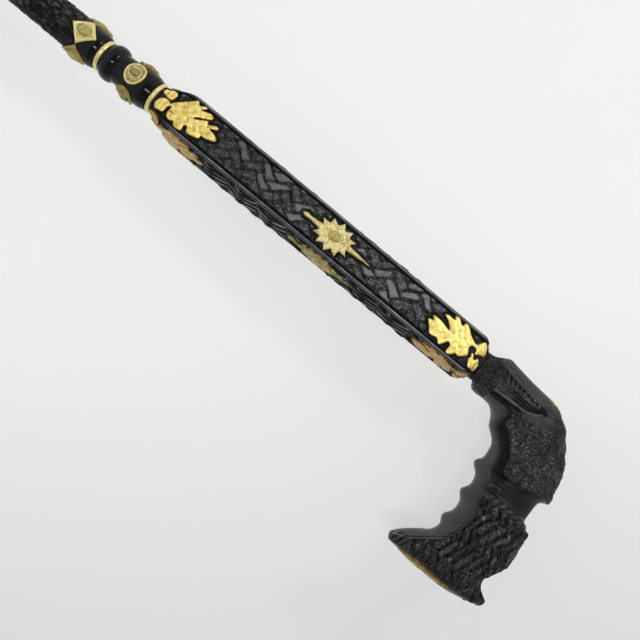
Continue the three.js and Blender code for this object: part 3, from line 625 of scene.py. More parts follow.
def shaftCorner(half):
    # one corner of the section, between two mid panels: sunk floor, quirk, round bead, quirk, sunk floor
    bead, quirk = shaft["bead"], shaft["quirk"]
    floor = half - shaft["panelDepth"] - 1.6
    edge = half - 2 * bead - quirk
    side = [(floor, t) for t in np.linspace(0, edge - 0.6, 5)]
    side += [(floor + 0.9, edge - 0.1), (half - shaft["quirkDepth"], edge + quirk * 0.35),
             (half - 1.5, edge + quirk * 0.8)]
    centre = half - bead
    beadArc = [(centre + bead * math.cos(t), centre + bead * math.sin(t))
               for t in np.radians(np.linspace(-50, 140, 20))]
    return np.array(side + beadArc + [(y, x) for x, y in side[:0:-1]])


def shaftBody():
    # the corner profile carried up the shaft, four to a ring, and drawn in to a round at both ends
    z = np.unique(np.concatenate([np.linspace(shaftFoot, shaftFoot + shaft["knopShoulder"], 50),
                                  np.linspace(shaftFoot, shaftTop, shaft["bodyRows"]),
                                  np.linspace(shaftTop - shaft["handleShoulder"], shaftTop, 20)]))
    rows = []
    for height in z:
        half, roundness, radius = shaftSection(height)
        corner = shaftCorner(float(half))
        reach = np.hypot(corner[:, 0], corner[:, 1])
        dip = np.minimum(0, np.maximum(corner[:, 0], corner[:, 1]) - (half - shaft["panelDepth"]))
        reach = reach * (1 - roundness) + (radius + dip) * roundness
        angle = np.arctan2(corner[:, 1], corner[:, 0])
        quarters = [angle + k * math.pi / 2 for k in range(4)]
        ring = np.concatenate([np.stack([reach * np.cos(a), reach * np.sin(a)], 1) for a in quarters])
        rows.append(np.column_stack([ring, np.full(len(ring), height)]))
    return np.array(rows)


# Outlines of the mounts on the front face, [across, up] in mm

mounts = dict(gap=0.3, step=0.42, leafWidth=20.6, hiltLeaf=29.5, hiltStalk=11.8, knopLeaf=33.2,
              knopStalk=12.5, starDrop=113.0, starUpper=26.5, starLower=23.5, starTips=(10.4, 13.8),
              starNotches=(7.2, 10.2), nutFold=3.0, sidePaintedShade=0.05, knopDimming=0.8,
              starGrain=1.1, starGrainRise=0.32, hiltCrumple=0.9, knopCrumple=1.45, nutRoom=(10.0, 6.0),
              hiltNutsDown=6.6, knopNutsUp=5.9)

# oak leaves from the stalk round the blade, as shares of the length and of half the width
hiltLeafShares = [
    [-0.02, -0.42], [0.14, -0.68], [0.28, -1.0], [0.37, -1.02], [0.4, -0.8], [0.52, -1.02],
    [0.61, -0.98], [0.58, -0.78], [0.74, -0.76], [0.78, -0.64], [0.66, -0.48], [0.54, -0.1],
    [0.8, -0.24], [0.96, -0.2], [0.9, 0.02], [1.0, 0.14], [0.9, 0.46], [0.8, 0.78], [0.64, 0.72],
    [0.55, 0.92], [0.49, 0.78], [0.42, 0.46], [0.35, 0.56], [0.34, 0.98], [0.26, 1.0], [0.17, 0.72],
    [0.1, 0.74], [0.0, 0.5], [-0.03, 0.3], [0.03, -0.08]]
knopLeafShares = [
    [-0.04, 0.02], [0.08, -0.4], [0.2, -0.78], [0.29, -1.08], [0.36, -0.9], [0.46, -1.08], [0.5, -1.02],
    [0.44, -0.76], [0.62, -0.94], [0.69, -0.84], [0.68, -0.66], [0.46, -0.22], [0.47, -0.1],
    [0.66, -0.5], [0.7, -0.34], [0.84, -0.58], [0.9, -0.46], [0.78, -0.2], [0.9, -0.12], [1.0, 0.08],
    [0.96, 0.26], [0.82, 0.42], [0.75, 0.42], [0.74, 0.68], [0.6, 0.82], [0.51, 0.84], [0.46, 0.56],
    [0.4, 0.6], [0.41, 0.98], [0.27, 1.04], [0.21, 0.82], [0.12, 0.9], [0.02, 0.7], [0.0, 0.2]]
# the hilt's two acorns with their stalks, as [across, down from the shaft's end] in mm
hiltNuts = [
    [(-9.3, 6.4), (-8.5, 4.9), (-6.9, 3.5), (-5.3, 2.6), (-3.2, 2.5), (-2.2, 3.2), (-1.6, 4.6),
     (-0.6, 6.1), (0.3, 7.3), (-0.1, 8.0), (-1.8, 8.5), (-2.8, 9.3), (-2.7, 11.5), (-2.5, 14.4),
     (-4.8, 13.7), (-4.9, 11.5), (-5.2, 9.6), (-6.5, 9.2), (-7.9, 8.2), (-9.1, 7.3)],
    [(0.9, 4.1), (2.4, 2.6), (4.4, 1.8), (6.5, 1.9), (7.6, 2.7), (8.2, 4.4), (8.9, 6.4), (7.4, 7.6),
     (5.9, 8.8), (4.4, 9.1), (2.9, 8.8), (1.2, 9.6), (0.5, 9.1), (1.2, 7.9), (2.8, 7.0), (2.9, 5.8),
     (1.5, 4.8)]]
# the knop end's two, as [across, up from the shaft's foot]
knopNuts = [
    [(-6.9, 9.4), (-5.2, 10.5), (-3.0, 10.3), (-1.4, 9.6), (-1.1, 7.6), (-1.5, 5.2), (-2.0, 3.0),
     (-3.3, 1.9), (-4.8, 2.0), (-5.8, 3.9), (-7.0, 6.0), (-7.4, 8.0)],
    [(-0.2, 8.6), (0.5, 10.2), (0.7, 12.9), (1.9, 13.0), (2.4, 11.0), (4.6, 10.4), (6.9, 10.2),
     (7.7, 8.6), (7.5, 6.2), (7.6, 4.6), (6.2, 2.9), (4.4, 2.3), (2.4, 3.0), (0.9, 4.2), (-0.1, 6.0)]]
starSpear = [[-0.14, 0.75], [-0.2, 0.9], [0, 1], [0.2, 0.9], [0.14, 0.75]]


def leafFence(shares, length, stalk, way):
    # an outline of shares, smoothed: across by half the width, up from the stalk by the length
    curve = roundedFence(shares)
    return np.stack([curve[:, 1] * mounts["leafWidth"] / 2, stalk + way * curve[:, 0] * length], axis=1)


def starFence(centre):
    # twelve rays: ten short ones on an oval and two long ones along the shaft, the lower ending in a spear
    points = []
    tips, notches = mounts["starTips"], mounts["starNotches"]
    for k in range(12):
        tip = k * math.pi / 6 - math.pi / 2
        notch = tip + math.pi / 12
        if k == 0:
            points += [(x * notches[0], centre - z * mounts["starLower"]) for x, z in starSpear]
        elif k == 6:
            points.append((0, centre + mounts["starUpper"]))
        else:
            points.append((tips[0] * math.cos(tip), centre + tips[1] * math.sin(tip)))
        points.append((notches[0] * math.cos(notch), centre + notches[1] * math.sin(notch)))
    return np.array(points)


def acornFence(middle):
    # an oval round a pair of acorns, for the ground that is cut back about them
    turn = np.linspace(0, 2 * math.pi, 16, endpoint=False)
    width, height = mounts["nutRoom"]
    return np.stack([width * np.cos(turn), middle + height * np.sin(turn)], axis=1)


hiltStalk, knopStalk = shaftTop - mounts["hiltStalk"], shaftFoot + mounts["knopStalk"]
starCentre = shaftTop - mounts["starDrop"]
hiltFence = leafFence(hiltLeafShares, mounts["hiltLeaf"], hiltStalk, -1)
knopFence = leafFence(knopLeafShares, mounts["knopLeaf"], knopStalk, 1)
starOutline = starFence(starCentre)
clearings = [hiltFence, knopFence, starOutline, acornFence(shaftTop - mounts["hiltNutsDown"]),
             acornFence(shaftFoot + mounts["knopNutsUp"])]


# strips in mm and degrees; bright is the share of them given painted highlights, keen draws that painted
# light to their crests, favour lifts one direction over the other and paints the other darker, and fade
# dulls the painted highlights from the star to the knop
weave = dict(fade=0.12, spacing=5.8, width=4.5, taper=0.5, angle=36.0, ground=-0.7, rise=0.35, swing=0.55,
             stray=0.9, lean=1.0, rounding=0.12, keen=0.0, favour=0.0, bright=0.45, stipple=0.34)
sideWeave = dict(weave, fade=0.0, spacing=5.2, width=4.0, taper=0.2, angle=27.0, ground=-1.2, rise=0.8,
                 swing=0.9, rounding=0.7, keen=1.0, bright=0.9, stipple=0.15)


def woven(across, along, seed, sizes):
    # wedge-shaped strips in two slanting directions, each riding over two and under two of the others, some
    # painted bright and the rest stippled with painted glints; height in mm and share of painted brightness
    flat = sheetPoints(across, along, seed * 31.7)
    across = across + sizes["stray"] * cloud(flat, 6.0, seed)
    along = along + sizes["stray"] * 1.6 * cloud(flat, 7.0, seed + 1)
    slant = math.radians(sizes["angle"])
    a = (across * math.cos(slant) - along * math.sin(slant)) / sizes["spacing"]
    b = (across * math.cos(slant) + along * math.sin(slant)) / sizes["spacing"]
    top, lit, faceted = (np.zeros(across.shape) for _ in range(3))
    for own, other, shift, key in ((a, b, 0.5, 1), (b, a, -2.5, 2)):
        strip = np.round(own)
        off = (own - strip) * sizes["spacing"]
        turn = (other - strip - shift) / 4
        piece = np.round(turn)
        chance, tilt = (scatter(strip, piece, np.full(strip.shape, key + seed * 7 + k)) - 0.5
                        for k in (0, 50))
        part = turn - piece
        wave = np.clip(1.9 * np.cos(2 * math.pi * turn), -1, 1)
        width = sizes["width"] * (1 + sizes["taper"] * np.sign(tilt) * 2 * part)
        edge = smoothStep(0, 0.5, width / 2 - np.abs(off))
        picked = smoothStep(-0.05, 0.05, chance + sizes["bright"] - 0.5)
        tipping = sizes["lean"] * (4 * tilt * part + 1.4 * chance * off / sizes["width"])
        favoured = sizes["favour"] if key == 1 else 0
        height = sizes["rise"] + favoured + sizes["swing"] * wave + 0.3 * (picked - 0.5)
        height += np.where(wave > 0, tipping, 0) - sizes["rounding"] * (off / sizes["width"] * 2) ** 2
        height = edge * (height - sizes["ground"])
        # painted highlight: brighter on picked strips and on one way of tilt, darker on the unfavoured
        # direction
        paintedLitShare = (0.3 + 0.7 * picked) * (1 + 0.5 * tilt) * (1 if key == 1 else 1 - 2 * sizes["favour"])
        paintedLitShare = paintedLitShare * (1 - sizes["keen"] * smoothStep(0.15, 0.65, np.abs(off) / sizes["width"] * 2))
        over = height > top
        lit = np.where(over, edge * smoothStep(0.1, 0.8, wave) * paintedLitShare, lit)
        faceted = np.where(over, edge * smoothStep(0.0, 0.6, wave) * picked, faceted)
        top = np.maximum(top, height)
    grains = granules(sheetPoints(across, along, 5.0 + seed), 0.95, seed)
    sparks = granules(sheetPoints(across, along, 9.0 + seed), 1.7, seed + 5) ** 5
    rough = (1 - 0.85 * faceted) * (1 - 0.6 * sizes["keen"])
    # painted glints on the stippled grains and the scattered sparks
    lit = lit * (1 + 0.3 * cloud(flat, 1.6, seed + 9)) + 0.55 * grains ** 1.5 * rough
    lit = lit + 0.9 * sparks * rough
    return sizes["ground"] + top + sizes["stipple"] * grains * rough, np.clip(lit, 0, 1)


def panelGrid():
    # places across and up one panel, with how far each stands clear of the mounts
    z = np.arange(shaftFoot + 1.5, shaftTop - 0.6, shaft["gridStep"])
    half, roundness, _ = shaftSection(z)
    edge = half - 2 * shaft["bead"] - shaft["quirk"] * 0.75
    share = np.linspace(-1, 1, int(2 * edge.max() / shaft["gridStep"]))
    across = edge[:, None] * share[None] * (1 - 0.3 * roundness[:, None])
    along = np.broadcast_to(z[:, None], across.shape)
    flat = np.stack([across.ravel(), along.ravel()], axis=1)
    away = np.full(len(flat), 99.0)
    for fence in clearings:
        near = np.abs(flat[:, 1] - fence[:, 1].mean()) < np.ptp(fence[:, 1]) / 2 + 6
        away[near] = np.minimum(away[near], -fenceDistance(flat[near], fence))
    rim = smoothStep(0, 0.9, (1 - np.abs(share))[None] * edge[:, None])
    return across, along, rim, roundness, away.reshape(across.shape)


def shaftPanel(face, across, along, rim, roundness, away):
    # woven relief over one panel, cut back about the mounts; its back lies inside the body
    sizes = sideWeave if face % 2 else weave
    height, lit = woven(across, along - shaftFoot, face + 1, sizes)
    grains = granules(sheetPoints(across, along, face * 9.0), 0.95, face)
    opened = smoothStep(0.6, 2.6, away + 0.8 * cloud(sheetPoints(across, along), 3.0, 8))
    ground = sideWeave["ground"] + 0.3 * grains
    height = ground + (height - ground) * opened
    # painted glints on the grains of the cleared ground about the mounts
    lit = lit * opened + 0.75 * grains ** 2 * (1 - opened)
    lit = lit * (1 - sizes["fade"] * smoothStep(0, 70, starCentre - along))       # painted highlights duller near the knop, where the light falls off
    height = (height + 1.2) * rim - 1.2
    calm = 1 - 0.55 * roundness[:, None]
    height = np.where(height > -0.2, -0.2 + (height + 0.2) * calm, height)
    top = onShaft(across, along, height)
    under = onShaft(across[:, [-1, 0]], along[:, [-1, 0]], np.full((len(top), 2), -3.0))
    pointList, faceSets = closedTube(np.concatenate([top, under], axis=1))
    # painted shade: the highlights fade out towards the panel's edges
    high = np.concatenate([lit * rim, np.zeros((len(top), 2))], axis=1)
    return (faceTurn(pointList, face), faceSets), np.append(high.ravel(), [0, 0])


print("upper shaft")
bodyRows = shaftBody()
bodyHalf = shaftSection(bodyRows[..., 2])[0]
proud = np.max(np.abs(bodyRows[..., :2]), axis=-1) - bodyHalf
beside = np.min(np.abs(bodyRows[..., :2]), axis=-1) - bodyHalf + shaft["bead"]
# painted highlight: a line along the front of each corner bead
crest = bell(beside - 0.1, 0.32) * smoothStep(-0.4, -0.1, proud) * (0.75 + 0.5 * cloud(bodyRows, 5.0, 40))
# painted shade in the quirks beside the beads
addPiece("shaft_body", closedTube(bodyRows), beadEbony, ["upper_shaft"],
         {"high": withEnds(0.45 * smoothStep(-2.0, -0.5, proud) + 0.55 * crest)}, 60)
panel = panelGrid()
for face, side in enumerate(faces):
    shape, high = shaftPanel(face, *panel)
    addPiece("woven_panel_" + side, shape, weaveEbony, ["upper_shaft"], {"high": high}, 0)

# Handle: a polished core with a pebbled covering on the arm and a woven one on the butt

handle = dict(reach=111.0, rise=81.3, halfDepth=13.6, flatness=2.4, keel=0.2, relief=1.3, edgeWidth=2.0,
              pitch=17.6, firstRidge=45.6, ridgeDepth=3.7, ridgeWidth=3.9, ridgeShares=(1.15, 0.95, 0.85),
              waist=(43.8, 55.5), armEnd=16.2, buttStart=17.2, evenLevel=60.0, tuck=2.6, under=1.4,
              coreRows=420, coreColumns=150, armRows=300, armColumns=300, buttRows=210, buttColumns=420)

# back edge, finger edge and half depth from neck to butt, as shares of the reach, rise and half depth
stations = np.array([
    [-0.086, 0.0, 0.083, 0.0, 0.7], [-0.092, 0.049, 0.084, 0.031, 0.69],
    [-0.119, 0.111, 0.114, 0.052, 0.75], [-0.133, 0.154, 0.123, 0.098, 0.81],
    [-0.125, 0.221, 0.121, 0.172, 0.85], [-0.114, 0.332, 0.128, 0.231, 0.87],
    [-0.106, 0.443, 0.155, 0.274, 0.89], [-0.099, 0.554, 0.187, 0.298, 0.9],
    [-0.077, 0.658, 0.213, 0.315, 0.91], [-0.032, 0.742, 0.234, 0.348, 0.92],
    [0.032, 0.822, 0.258, 0.386, 0.93], [0.115, 0.889, 0.286, 0.411, 0.94],
    [0.216, 0.942, 0.317, 0.418, 0.95], [0.314, 0.968, 0.347, 0.423, 0.95],
    [0.348, 0.947, 0.369, 0.428, 0.92], [0.378, 0.914, 0.396, 0.434, 0.85],
    [0.437, 0.909, 0.444, 0.448, 0.82], [0.492, 0.911, 0.494, 0.46, 0.84],
    [0.516, 0.938, 0.518, 0.464, 0.93], [0.551, 0.974, 0.552, 0.469, 0.99],
    [0.622, 0.979, 0.622, 0.476, 1.0], [0.716, 0.986, 0.712, 0.472, 1.0],
    [0.788, 0.954, 0.779, 0.459, 0.98], [0.843, 0.904, 0.827, 0.424, 0.96],
    [0.883, 0.903, 0.86, 0.364, 0.96], [0.917, 0.947, 0.897, 0.301, 0.97],
    [0.942, 1.0, 0.935, 0.248, 0.98], [0.968, 0.995, 0.969, 0.216, 0.98], [1.0, 0.84, 1.0, 0.24, 0.9]])
carvingEdge = np.array([
    [0.18, 0.3], [0.235, 0.47], [0.3, 0.525], [0.39, 0.555], [0.52, 0.55], [0.6, 0.555], [0.72, 0.545],
    [0.8, 0.51], [0.84, 0.455], [0.875, 0.38], [0.917, 0.32], [0.96, 0.24], [1.0, 0.2]])

# outlines of the two carved coverings, seen from the side: [out from the axis, up from the shaft] in mm
armFence = np.array([
    (-60, -20), (40, -20), (40, 13.3), (12, 13.3), (12.2, 22), (12.5, 29.6), (14.3, 30.6), (19.1, 29.8),
    (22.1, 34.5), (26.2, 39.1), (32.1, 42.9), (38, 44.4), (43.3, 45.4), (43.8, 51.1), (43.7, 56.9),
    (41.7, 67.4), (38.5, 76.2), (36.5, 100), (-60, 100)], dtype=float)
buttFence = np.array([
    (64.4, 44.5), (59.2, 44.9), (56.2, 48.3), (54.8, 56.4), (55.8, 64.9), (55.6, 73.6), (53, 110),
    (160, 110), (160, -20), (107, 14), (101.8, 26.2), (97.2, 31.9), (93.1, 37.7), (89.1, 41.4),
    (84.5, 43.1), (78.8, 44.5), (73, 45.3)], dtype=float)
# the fan of strands on the arm, [up, left edge, right edge], and the slanted cuts that scallop its left
# edge, [across, up, length], in mm
strandEdges = np.array([
    (11, -6.3, 8.4), (13.3, -5.8, 8.4), (17.6, -4.7, 8.3), (21.5, -3.7, 8.2), (27.5, -3.0, 8.2),
    (34.4, -2.1, 7.9), (38.7, -1.8, 6.7), (41.7, -2.0, 5.0), (43.8, -2.1, 3.4), (47, -0.4, 0.9)])
slantCuts = [
    (-5.6, 13.1, 7.4), (-4.8, 16.7, 6.0), (-4.0, 20.4, 2.4), (-3.3, 23.8, 1.7), (-2.9, 27.2, 1.5),
    (-2.6, 30.9, 1.5), (-2.1, 34.3, 1.8), (-1.8, 37.8, 1.5), (-1.8, 41.2, 1.3)]
fan = dict(slant=0.7, slantWidth=0.5, grooves=(0.44, 0.6, 0.77), grooveWidth=0.33, cord=0.95,
           cordWidth=0.75, gutter=0.75, gutterWidth=0.6, top=(-0.7, 44.6), topSize=1.6)
# grain sizes and heights of the arm's covering, in mm
armSkin = dict(pebble=1.3, pebbleRise=0.6, pit=2.4, pitDepth=0.3, lumpRise=0.9, stipple=1.05, spark=1.5,
               wander=5.0, cutDepth=1.0, cordRise=0.45, gutterDepth=0.8, foldDepth=0.5, lipRise=0.4,
               crossCuts=(1.35, 1.6), crossRise=0.17)
# upper edge of the stippled neck, [across, up], and left edge of the pebbles beside it, [up, across], in mm
neckTop = np.array([(-14, 7), (-6.4, 7.3), (-5.4, 9.8), (-2.8, 12.3), (0.2, 15.2), (2, 16), (4, 14),
                    (20, 13.2)])
pebbleEdge = np.array([(30, 9.3), (50, 9.1), (56, 6.5), (62, 2.0), (70, -4)])


def stationRows(place):
    # values between two table rows, on a smooth curve through the rows around them
    last = len(stations) - 1
    k = np.minimum(np.floor(place), last - 1).astype(int)
    t = (place - k)[:, None]
    a, b, c, d = (stations[np.clip(k + step, 0, last)] for step in (-1, 0, 1, 2))
    return cubicStep(a, b, c, d, t)


def fingerRidges(x):
    # ridges between the fingers, one pitch apart: depth times exp(-(distance / width)^2)
    total = np.zeros(np.shape(x))
    for k, share in enumerate(handle["ridgeShares"]):
        away = x - handle["firstRidge"] - k * handle["pitch"]
        total += handle["ridgeDepth"] * share * bell(away, handle["ridgeWidth"])
    return total


def polished(x, z):
    # 1 on the plain grip and the waist, 0 where the wood is left full for carving
    edge = np.interp(x, carvingEdge[:, 0] * handle["reach"], carvingEdge[:, 1] * handle["rise"])
    above = np.where(x < carvingEdge[0, 0] * handle["reach"], 1,
                     smoothStep(-handle["edgeWidth"], handle["edgeWidth"], z - edge))
    low, high = handle["waist"]
    waist = smoothStep(low - 1, low + 1, x) * fallStep(high - 1, high + 1, x)
    return 1 - above * (1 - waist)


def handleGrid(first, last, rows, columns, sunk):
    # flattened round sections from station to station, |cos|^p and |sin|^p across and deep, stepped evenly
    # round each section and along the middle line
    fine = np.linspace(first, last, 400)
    table = stationRows(fine)
    middle = np.stack([(table[:, 0] + table[:, 2]) * handle["reach"],
                       (table[:, 1] + table[:, 3]) * handle["rise"]], 1) / 2
    run = np.concatenate([[0], np.cumsum(np.linalg.norm(np.diff(middle, axis=0), axis=1))])
    table = stationRows(np.interp(np.linspace(0, run[-1], rows), run, fine))
    angle = np.linspace(0, 2 * math.pi, 721)
    power = 2 / handle["flatness"]
    ahead = np.sign(np.cos(angle)) * np.abs(np.cos(angle)) ** power
    beside = np.sign(np.sin(angle)) * np.abs(np.sin(angle)) ** power
    grid = np.empty((rows, columns, 3))
    rounds = np.empty(rows)
    for k, (backX, backZ, fingerX, fingerZ, depth) in enumerate(table):
        fingerX, backX = fingerX * handle["reach"], backX * handle["reach"]
        fingerZ = fingerZ * handle["rise"] - fingerRidges(fingerX)
        share = (1 + ahead) / 2
        x = fingerX + (backX - fingerX) * share
        z = fingerZ + (backZ * handle["rise"] - fingerZ) * share
        keel = 1 - handle["keel"] * (1 - share)
        reach = depth * handle["halfDepth"] * keel - (handle["relief"] * polished(x, z) if sunk else 0)
        ring = np.stack([x, -beside * reach, z], axis=1)
        arc = np.concatenate([[0], np.cumsum(np.linalg.norm(np.diff(ring, axis=0), axis=1))])
        places = np.arange(columns) / columns * arc[-1]
        grid[k] = np.stack([np.interp(places, arc, ring[:, i]) for i in range(3)], axis=1)
        rounds[k] = arc[-1]
    return grid, rounds


def gridNormals(grid):
    # outward directions of a tube of rings: across both ways along the surface
    alongWay = np.gradient(grid, axis=0)
    roundWay = np.roll(grid, -1, axis=1) - np.roll(grid, 1, axis=1)
    normal = np.cross(alongWay, roundWay)
    normal /= np.maximum(np.linalg.norm(normal, axis=-1, keepdims=True), 1e-9)
    outer = grid - grid.mean(axis=1, keepdims=True)
    return normal if np.sum(normal * outer) > 0 else -normal


def raised(grid, height):
    # a grid moved out along its normals by a height at each place, set on the shaft and closed
    moved = grid + gridNormals(grid) * height[..., None]
    moved[..., 2] += shaftTop
    return closedTube(moved)


def dot(x, z, centre, radius):
    # a round spot seen from the side: exp(-(distance from its centre / radius)^2)
    return np.exp(-(((x - centre[0]) / radius) ** 2 + ((z - centre[1]) / radius) ** 2))


def armRelief(grid):
    # height of the covering over the wood: pebbles, a fan of cut strands beside a smooth band, a stippled
    # neck with a cross-cut lip; the fan is stippled low down, grooved higher up and edged by a smooth cord
    # on its right
    x, z = grid[..., 0], grid[..., 2]
    inside = insideFence(x, z, armFence)
    pebbles = granules(grid, armSkin["pebble"], 3)
    fine = granules(grid, armSkin["stipple"], 9)
    sparks = granules(grid, armSkin["spark"], 10) ** 7
    sparks = sparks * smoothStep(-0.5, 0.5, cloud(grid, armSkin["wander"], 13))
    pits = granules(grid, armSkin["pit"], 5) ** 6
    wander = cloud(grid, armSkin["wander"], 4)
    foot = np.interp(x, neckTop[:, 0], neckTop[:, 1])
    neck = fallStep(-0.4, 0.5, z - foot)
    left = np.interp(z, strandEdges[:, 0], strandEdges[:, 1])
    right = np.interp(z, strandEdges[:, 0], strandEdges[:, 2])
    width = right - left
    across = (x - left + 0.2 * wander) / width
    strands = smoothStep(0, 0.04, across) * fallStep(0.99, 1.03, across)
    strands = strands * (1 - neck) * fallStep(46.5, 47.5, z)
    edge = np.interp(z, pebbleEdge[:, 0], pebbleEdge[:, 1]) + 0.6 * wander
    band = fallStep(-0.5, 0.3, x - left) * (1 - neck) * fallStep(46, 54, z + 2 * wander)
    tongue = smoothStep(0, 0.5, x - right) * smoothStep(33, 36, z) + smoothStep(46.5, 47.5, z) * (x > left)
    tongue = np.clip(tongue, 0, 1) * fallStep(-0.5, 0.5, x - edge) * fallStep(48, 55, z + 2 * wander)
    smooth = np.clip(band + tongue, 0, 1)
    strip = smoothStep(0.2, 0.6, x - right) * (1 - neck) * fallStep(26, 29, z + wander)
    lip = neck * smoothStep(9.3, 10.3, x) * smoothStep(1.5, 2.5, z)
    slanted = np.zeros(x.shape)
    for cutX, cutZ, reach in slantCuts:
        wayX, wayZ = math.cos(fan["slant"]), math.sin(fan["slant"])
        run = np.clip((x - cutX) * wayX + (z - cutZ) * wayZ, 0, reach)
        off = (x - cutX - run * wayX) ** 2 + (z - cutZ - run * wayZ + 0.05 * run ** 2) ** 2
        slanted = np.maximum(slanted, np.exp(-off / fan["slantWidth"] ** 2))
    long = sum(bell((across - place) * width, fan["grooveWidth"]) for place in fan["grooves"])
    long = np.clip(long, 0, 1) * smoothStep(20, 28, z + 3 * wander)
    cord = bell(right - fan["cord"] - x, fan["cordWidth"]) * smoothStep(13, 15, z) * fallStep(44, 46, z)
    stippled = np.maximum(fallStep(20, 28, z), fallStep(0.32, 0.42, across))
    stippled = stippled * (1 - fallStep(18, 21, z) * fallStep(0.3, 0.5, across)) * (1 - cord)
    cutAway = np.clip(slanted + long + dot(x, z, fan["top"], fan["topSize"]), 0, 1) * (1 - cord)
    pebbleShare = np.clip(1 - strands - smooth - neck - strip, 0, 1)
    pitted = pits * (1 + 1.6 * bell(x - edge - 1.6, 1.6) * smoothStep(32, 36, z) * fallStep(48, 52, z))
    calm = 1 - 0.5 * smoothStep(16, 30, inside)
    height = pebbleShare * (0.05 + armSkin["pebbleRise"] * pebbles * calm - armSkin["pitDepth"] * pitted
                            + armSkin["lumpRise"] * wander * smoothStep(44, 56, z))
    height += strands * (0.05 - armSkin["cutDepth"] * cutAway
                         + stippled * (-0.4 + 0.55 * fine) * (1 - cutAway) + armSkin["cordRise"] * cord)
    streaks = cloud(np.stack([x * 1.6, grid[..., 1] * 1.6, z * 0.3], axis=-1), 2.0, 17)
    height += smooth * (0.12 + 0.08 * wander + 0.06 * streaks)
    height += strip * (-0.65 + 0.5 * fine)
    height += (neck - lip) * (-0.25 + 0.45 * fine)
    level, steep = armSkin["crossCuts"]
    crossCut = np.sin(2 * math.pi * (z + 0.2 * x) / level)
    crossCut = crossCut + 0.6 * np.sin(2 * math.pi * (x - 0.2 * z) / steep)
    height += lip * (0.05 + armSkin["crossRise"] * crossCut)
    gutter = bell(x - right - fan["gutter"], fan["gutterWidth"]) * (1 - neck) * fallStep(30, 36, z)
    fold = bell(z - foot - 0.4, 0.6) * smoothStep(-8, -6, x) * fallStep(0.5, 2.5, x)
    height -= armSkin["gutterDepth"] * gutter + armSkin["foldDepth"] * fold
    lipEdge = bell(inside - 1.3, 0.8) * smoothStep(17, 21, x)
    height += armSkin["lipRise"] * lipEdge * (1 + 0.4 * wander)
    shown = smoothStep(-0.1, 0.75, inside)
    # painted shade low by the neck and in pits, cuts, the gutter and the fold; painted glints from the
    # sparks
    shaded = 1 - 0.6 * fallStep(9, 14, x) * fallStep(31, 36, z)
    high = pebbleShare * shaded * (0.2 + 0.55 * pebbles ** 1.5 * calm - 0.4 * pitted + sparks)
    high += smooth * (0.57 + 0.1 * streaks)
    high += neck * (0.65 * fine ** 1.5 + 0.5 * sparks) * (1 - lip) + strip * 0.45 * fine ** 1.5
    high += lip * (0.5 + 0.25 * crossCut)
    ridges = 0.5 + 0.35 * cord - 0.35 * stippled + (0.55 * fine + sparks) * stippled
    high += strands * np.clip(ridges - 1.1 * cutAway, 0, 1)
    high = high * (1 - 0.9 * gutter) * (1 - 0.85 * fold)
    return height * shown - handle["tuck"] * (1 - shown), np.clip(high, 0, 1) * shown


buttWeave = dict(spacing=4.7, width=3.9, taper=0.5, angle=24.0, ground=-0.85, rise=0.3, swing=0.6, stray=1.5,
                 lean=1.0, rounding=0.3, keen=0.4, favour=0.3, bright=0.3, stipple=0.4)
buttSkin = dict(strokeRise=0.34, grain=0.9, grainRise=0.2, fringeStart=55.4, fringeEnd=4.2, lobe=4.4,
                lobeRise=0.8, rib=1.25, ribRise=0.16, cordRise=0.75, twist=2.2, hornRing=2.6, ringRise=0.3,
                rimStart=108.6)


def levelRun(grid, rounds):
    # way round each section from its top, positive in front, shifted so that it is even along one level of
    # the side
    columns = grid.shape[1]
    half = columns // 2
    share = np.arange(columns) / columns
    run = np.where(share < 0.5, share, share - 1)[None, :] * rounds[:, None]
    reached = np.array([np.interp(-handle["evenLevel"], -row[:half], way[:half])
                        for row, way in zip(grid[..., 2], run)])
    return run - (reached - reached.mean())[:, None] * np.tanh(run / 5)


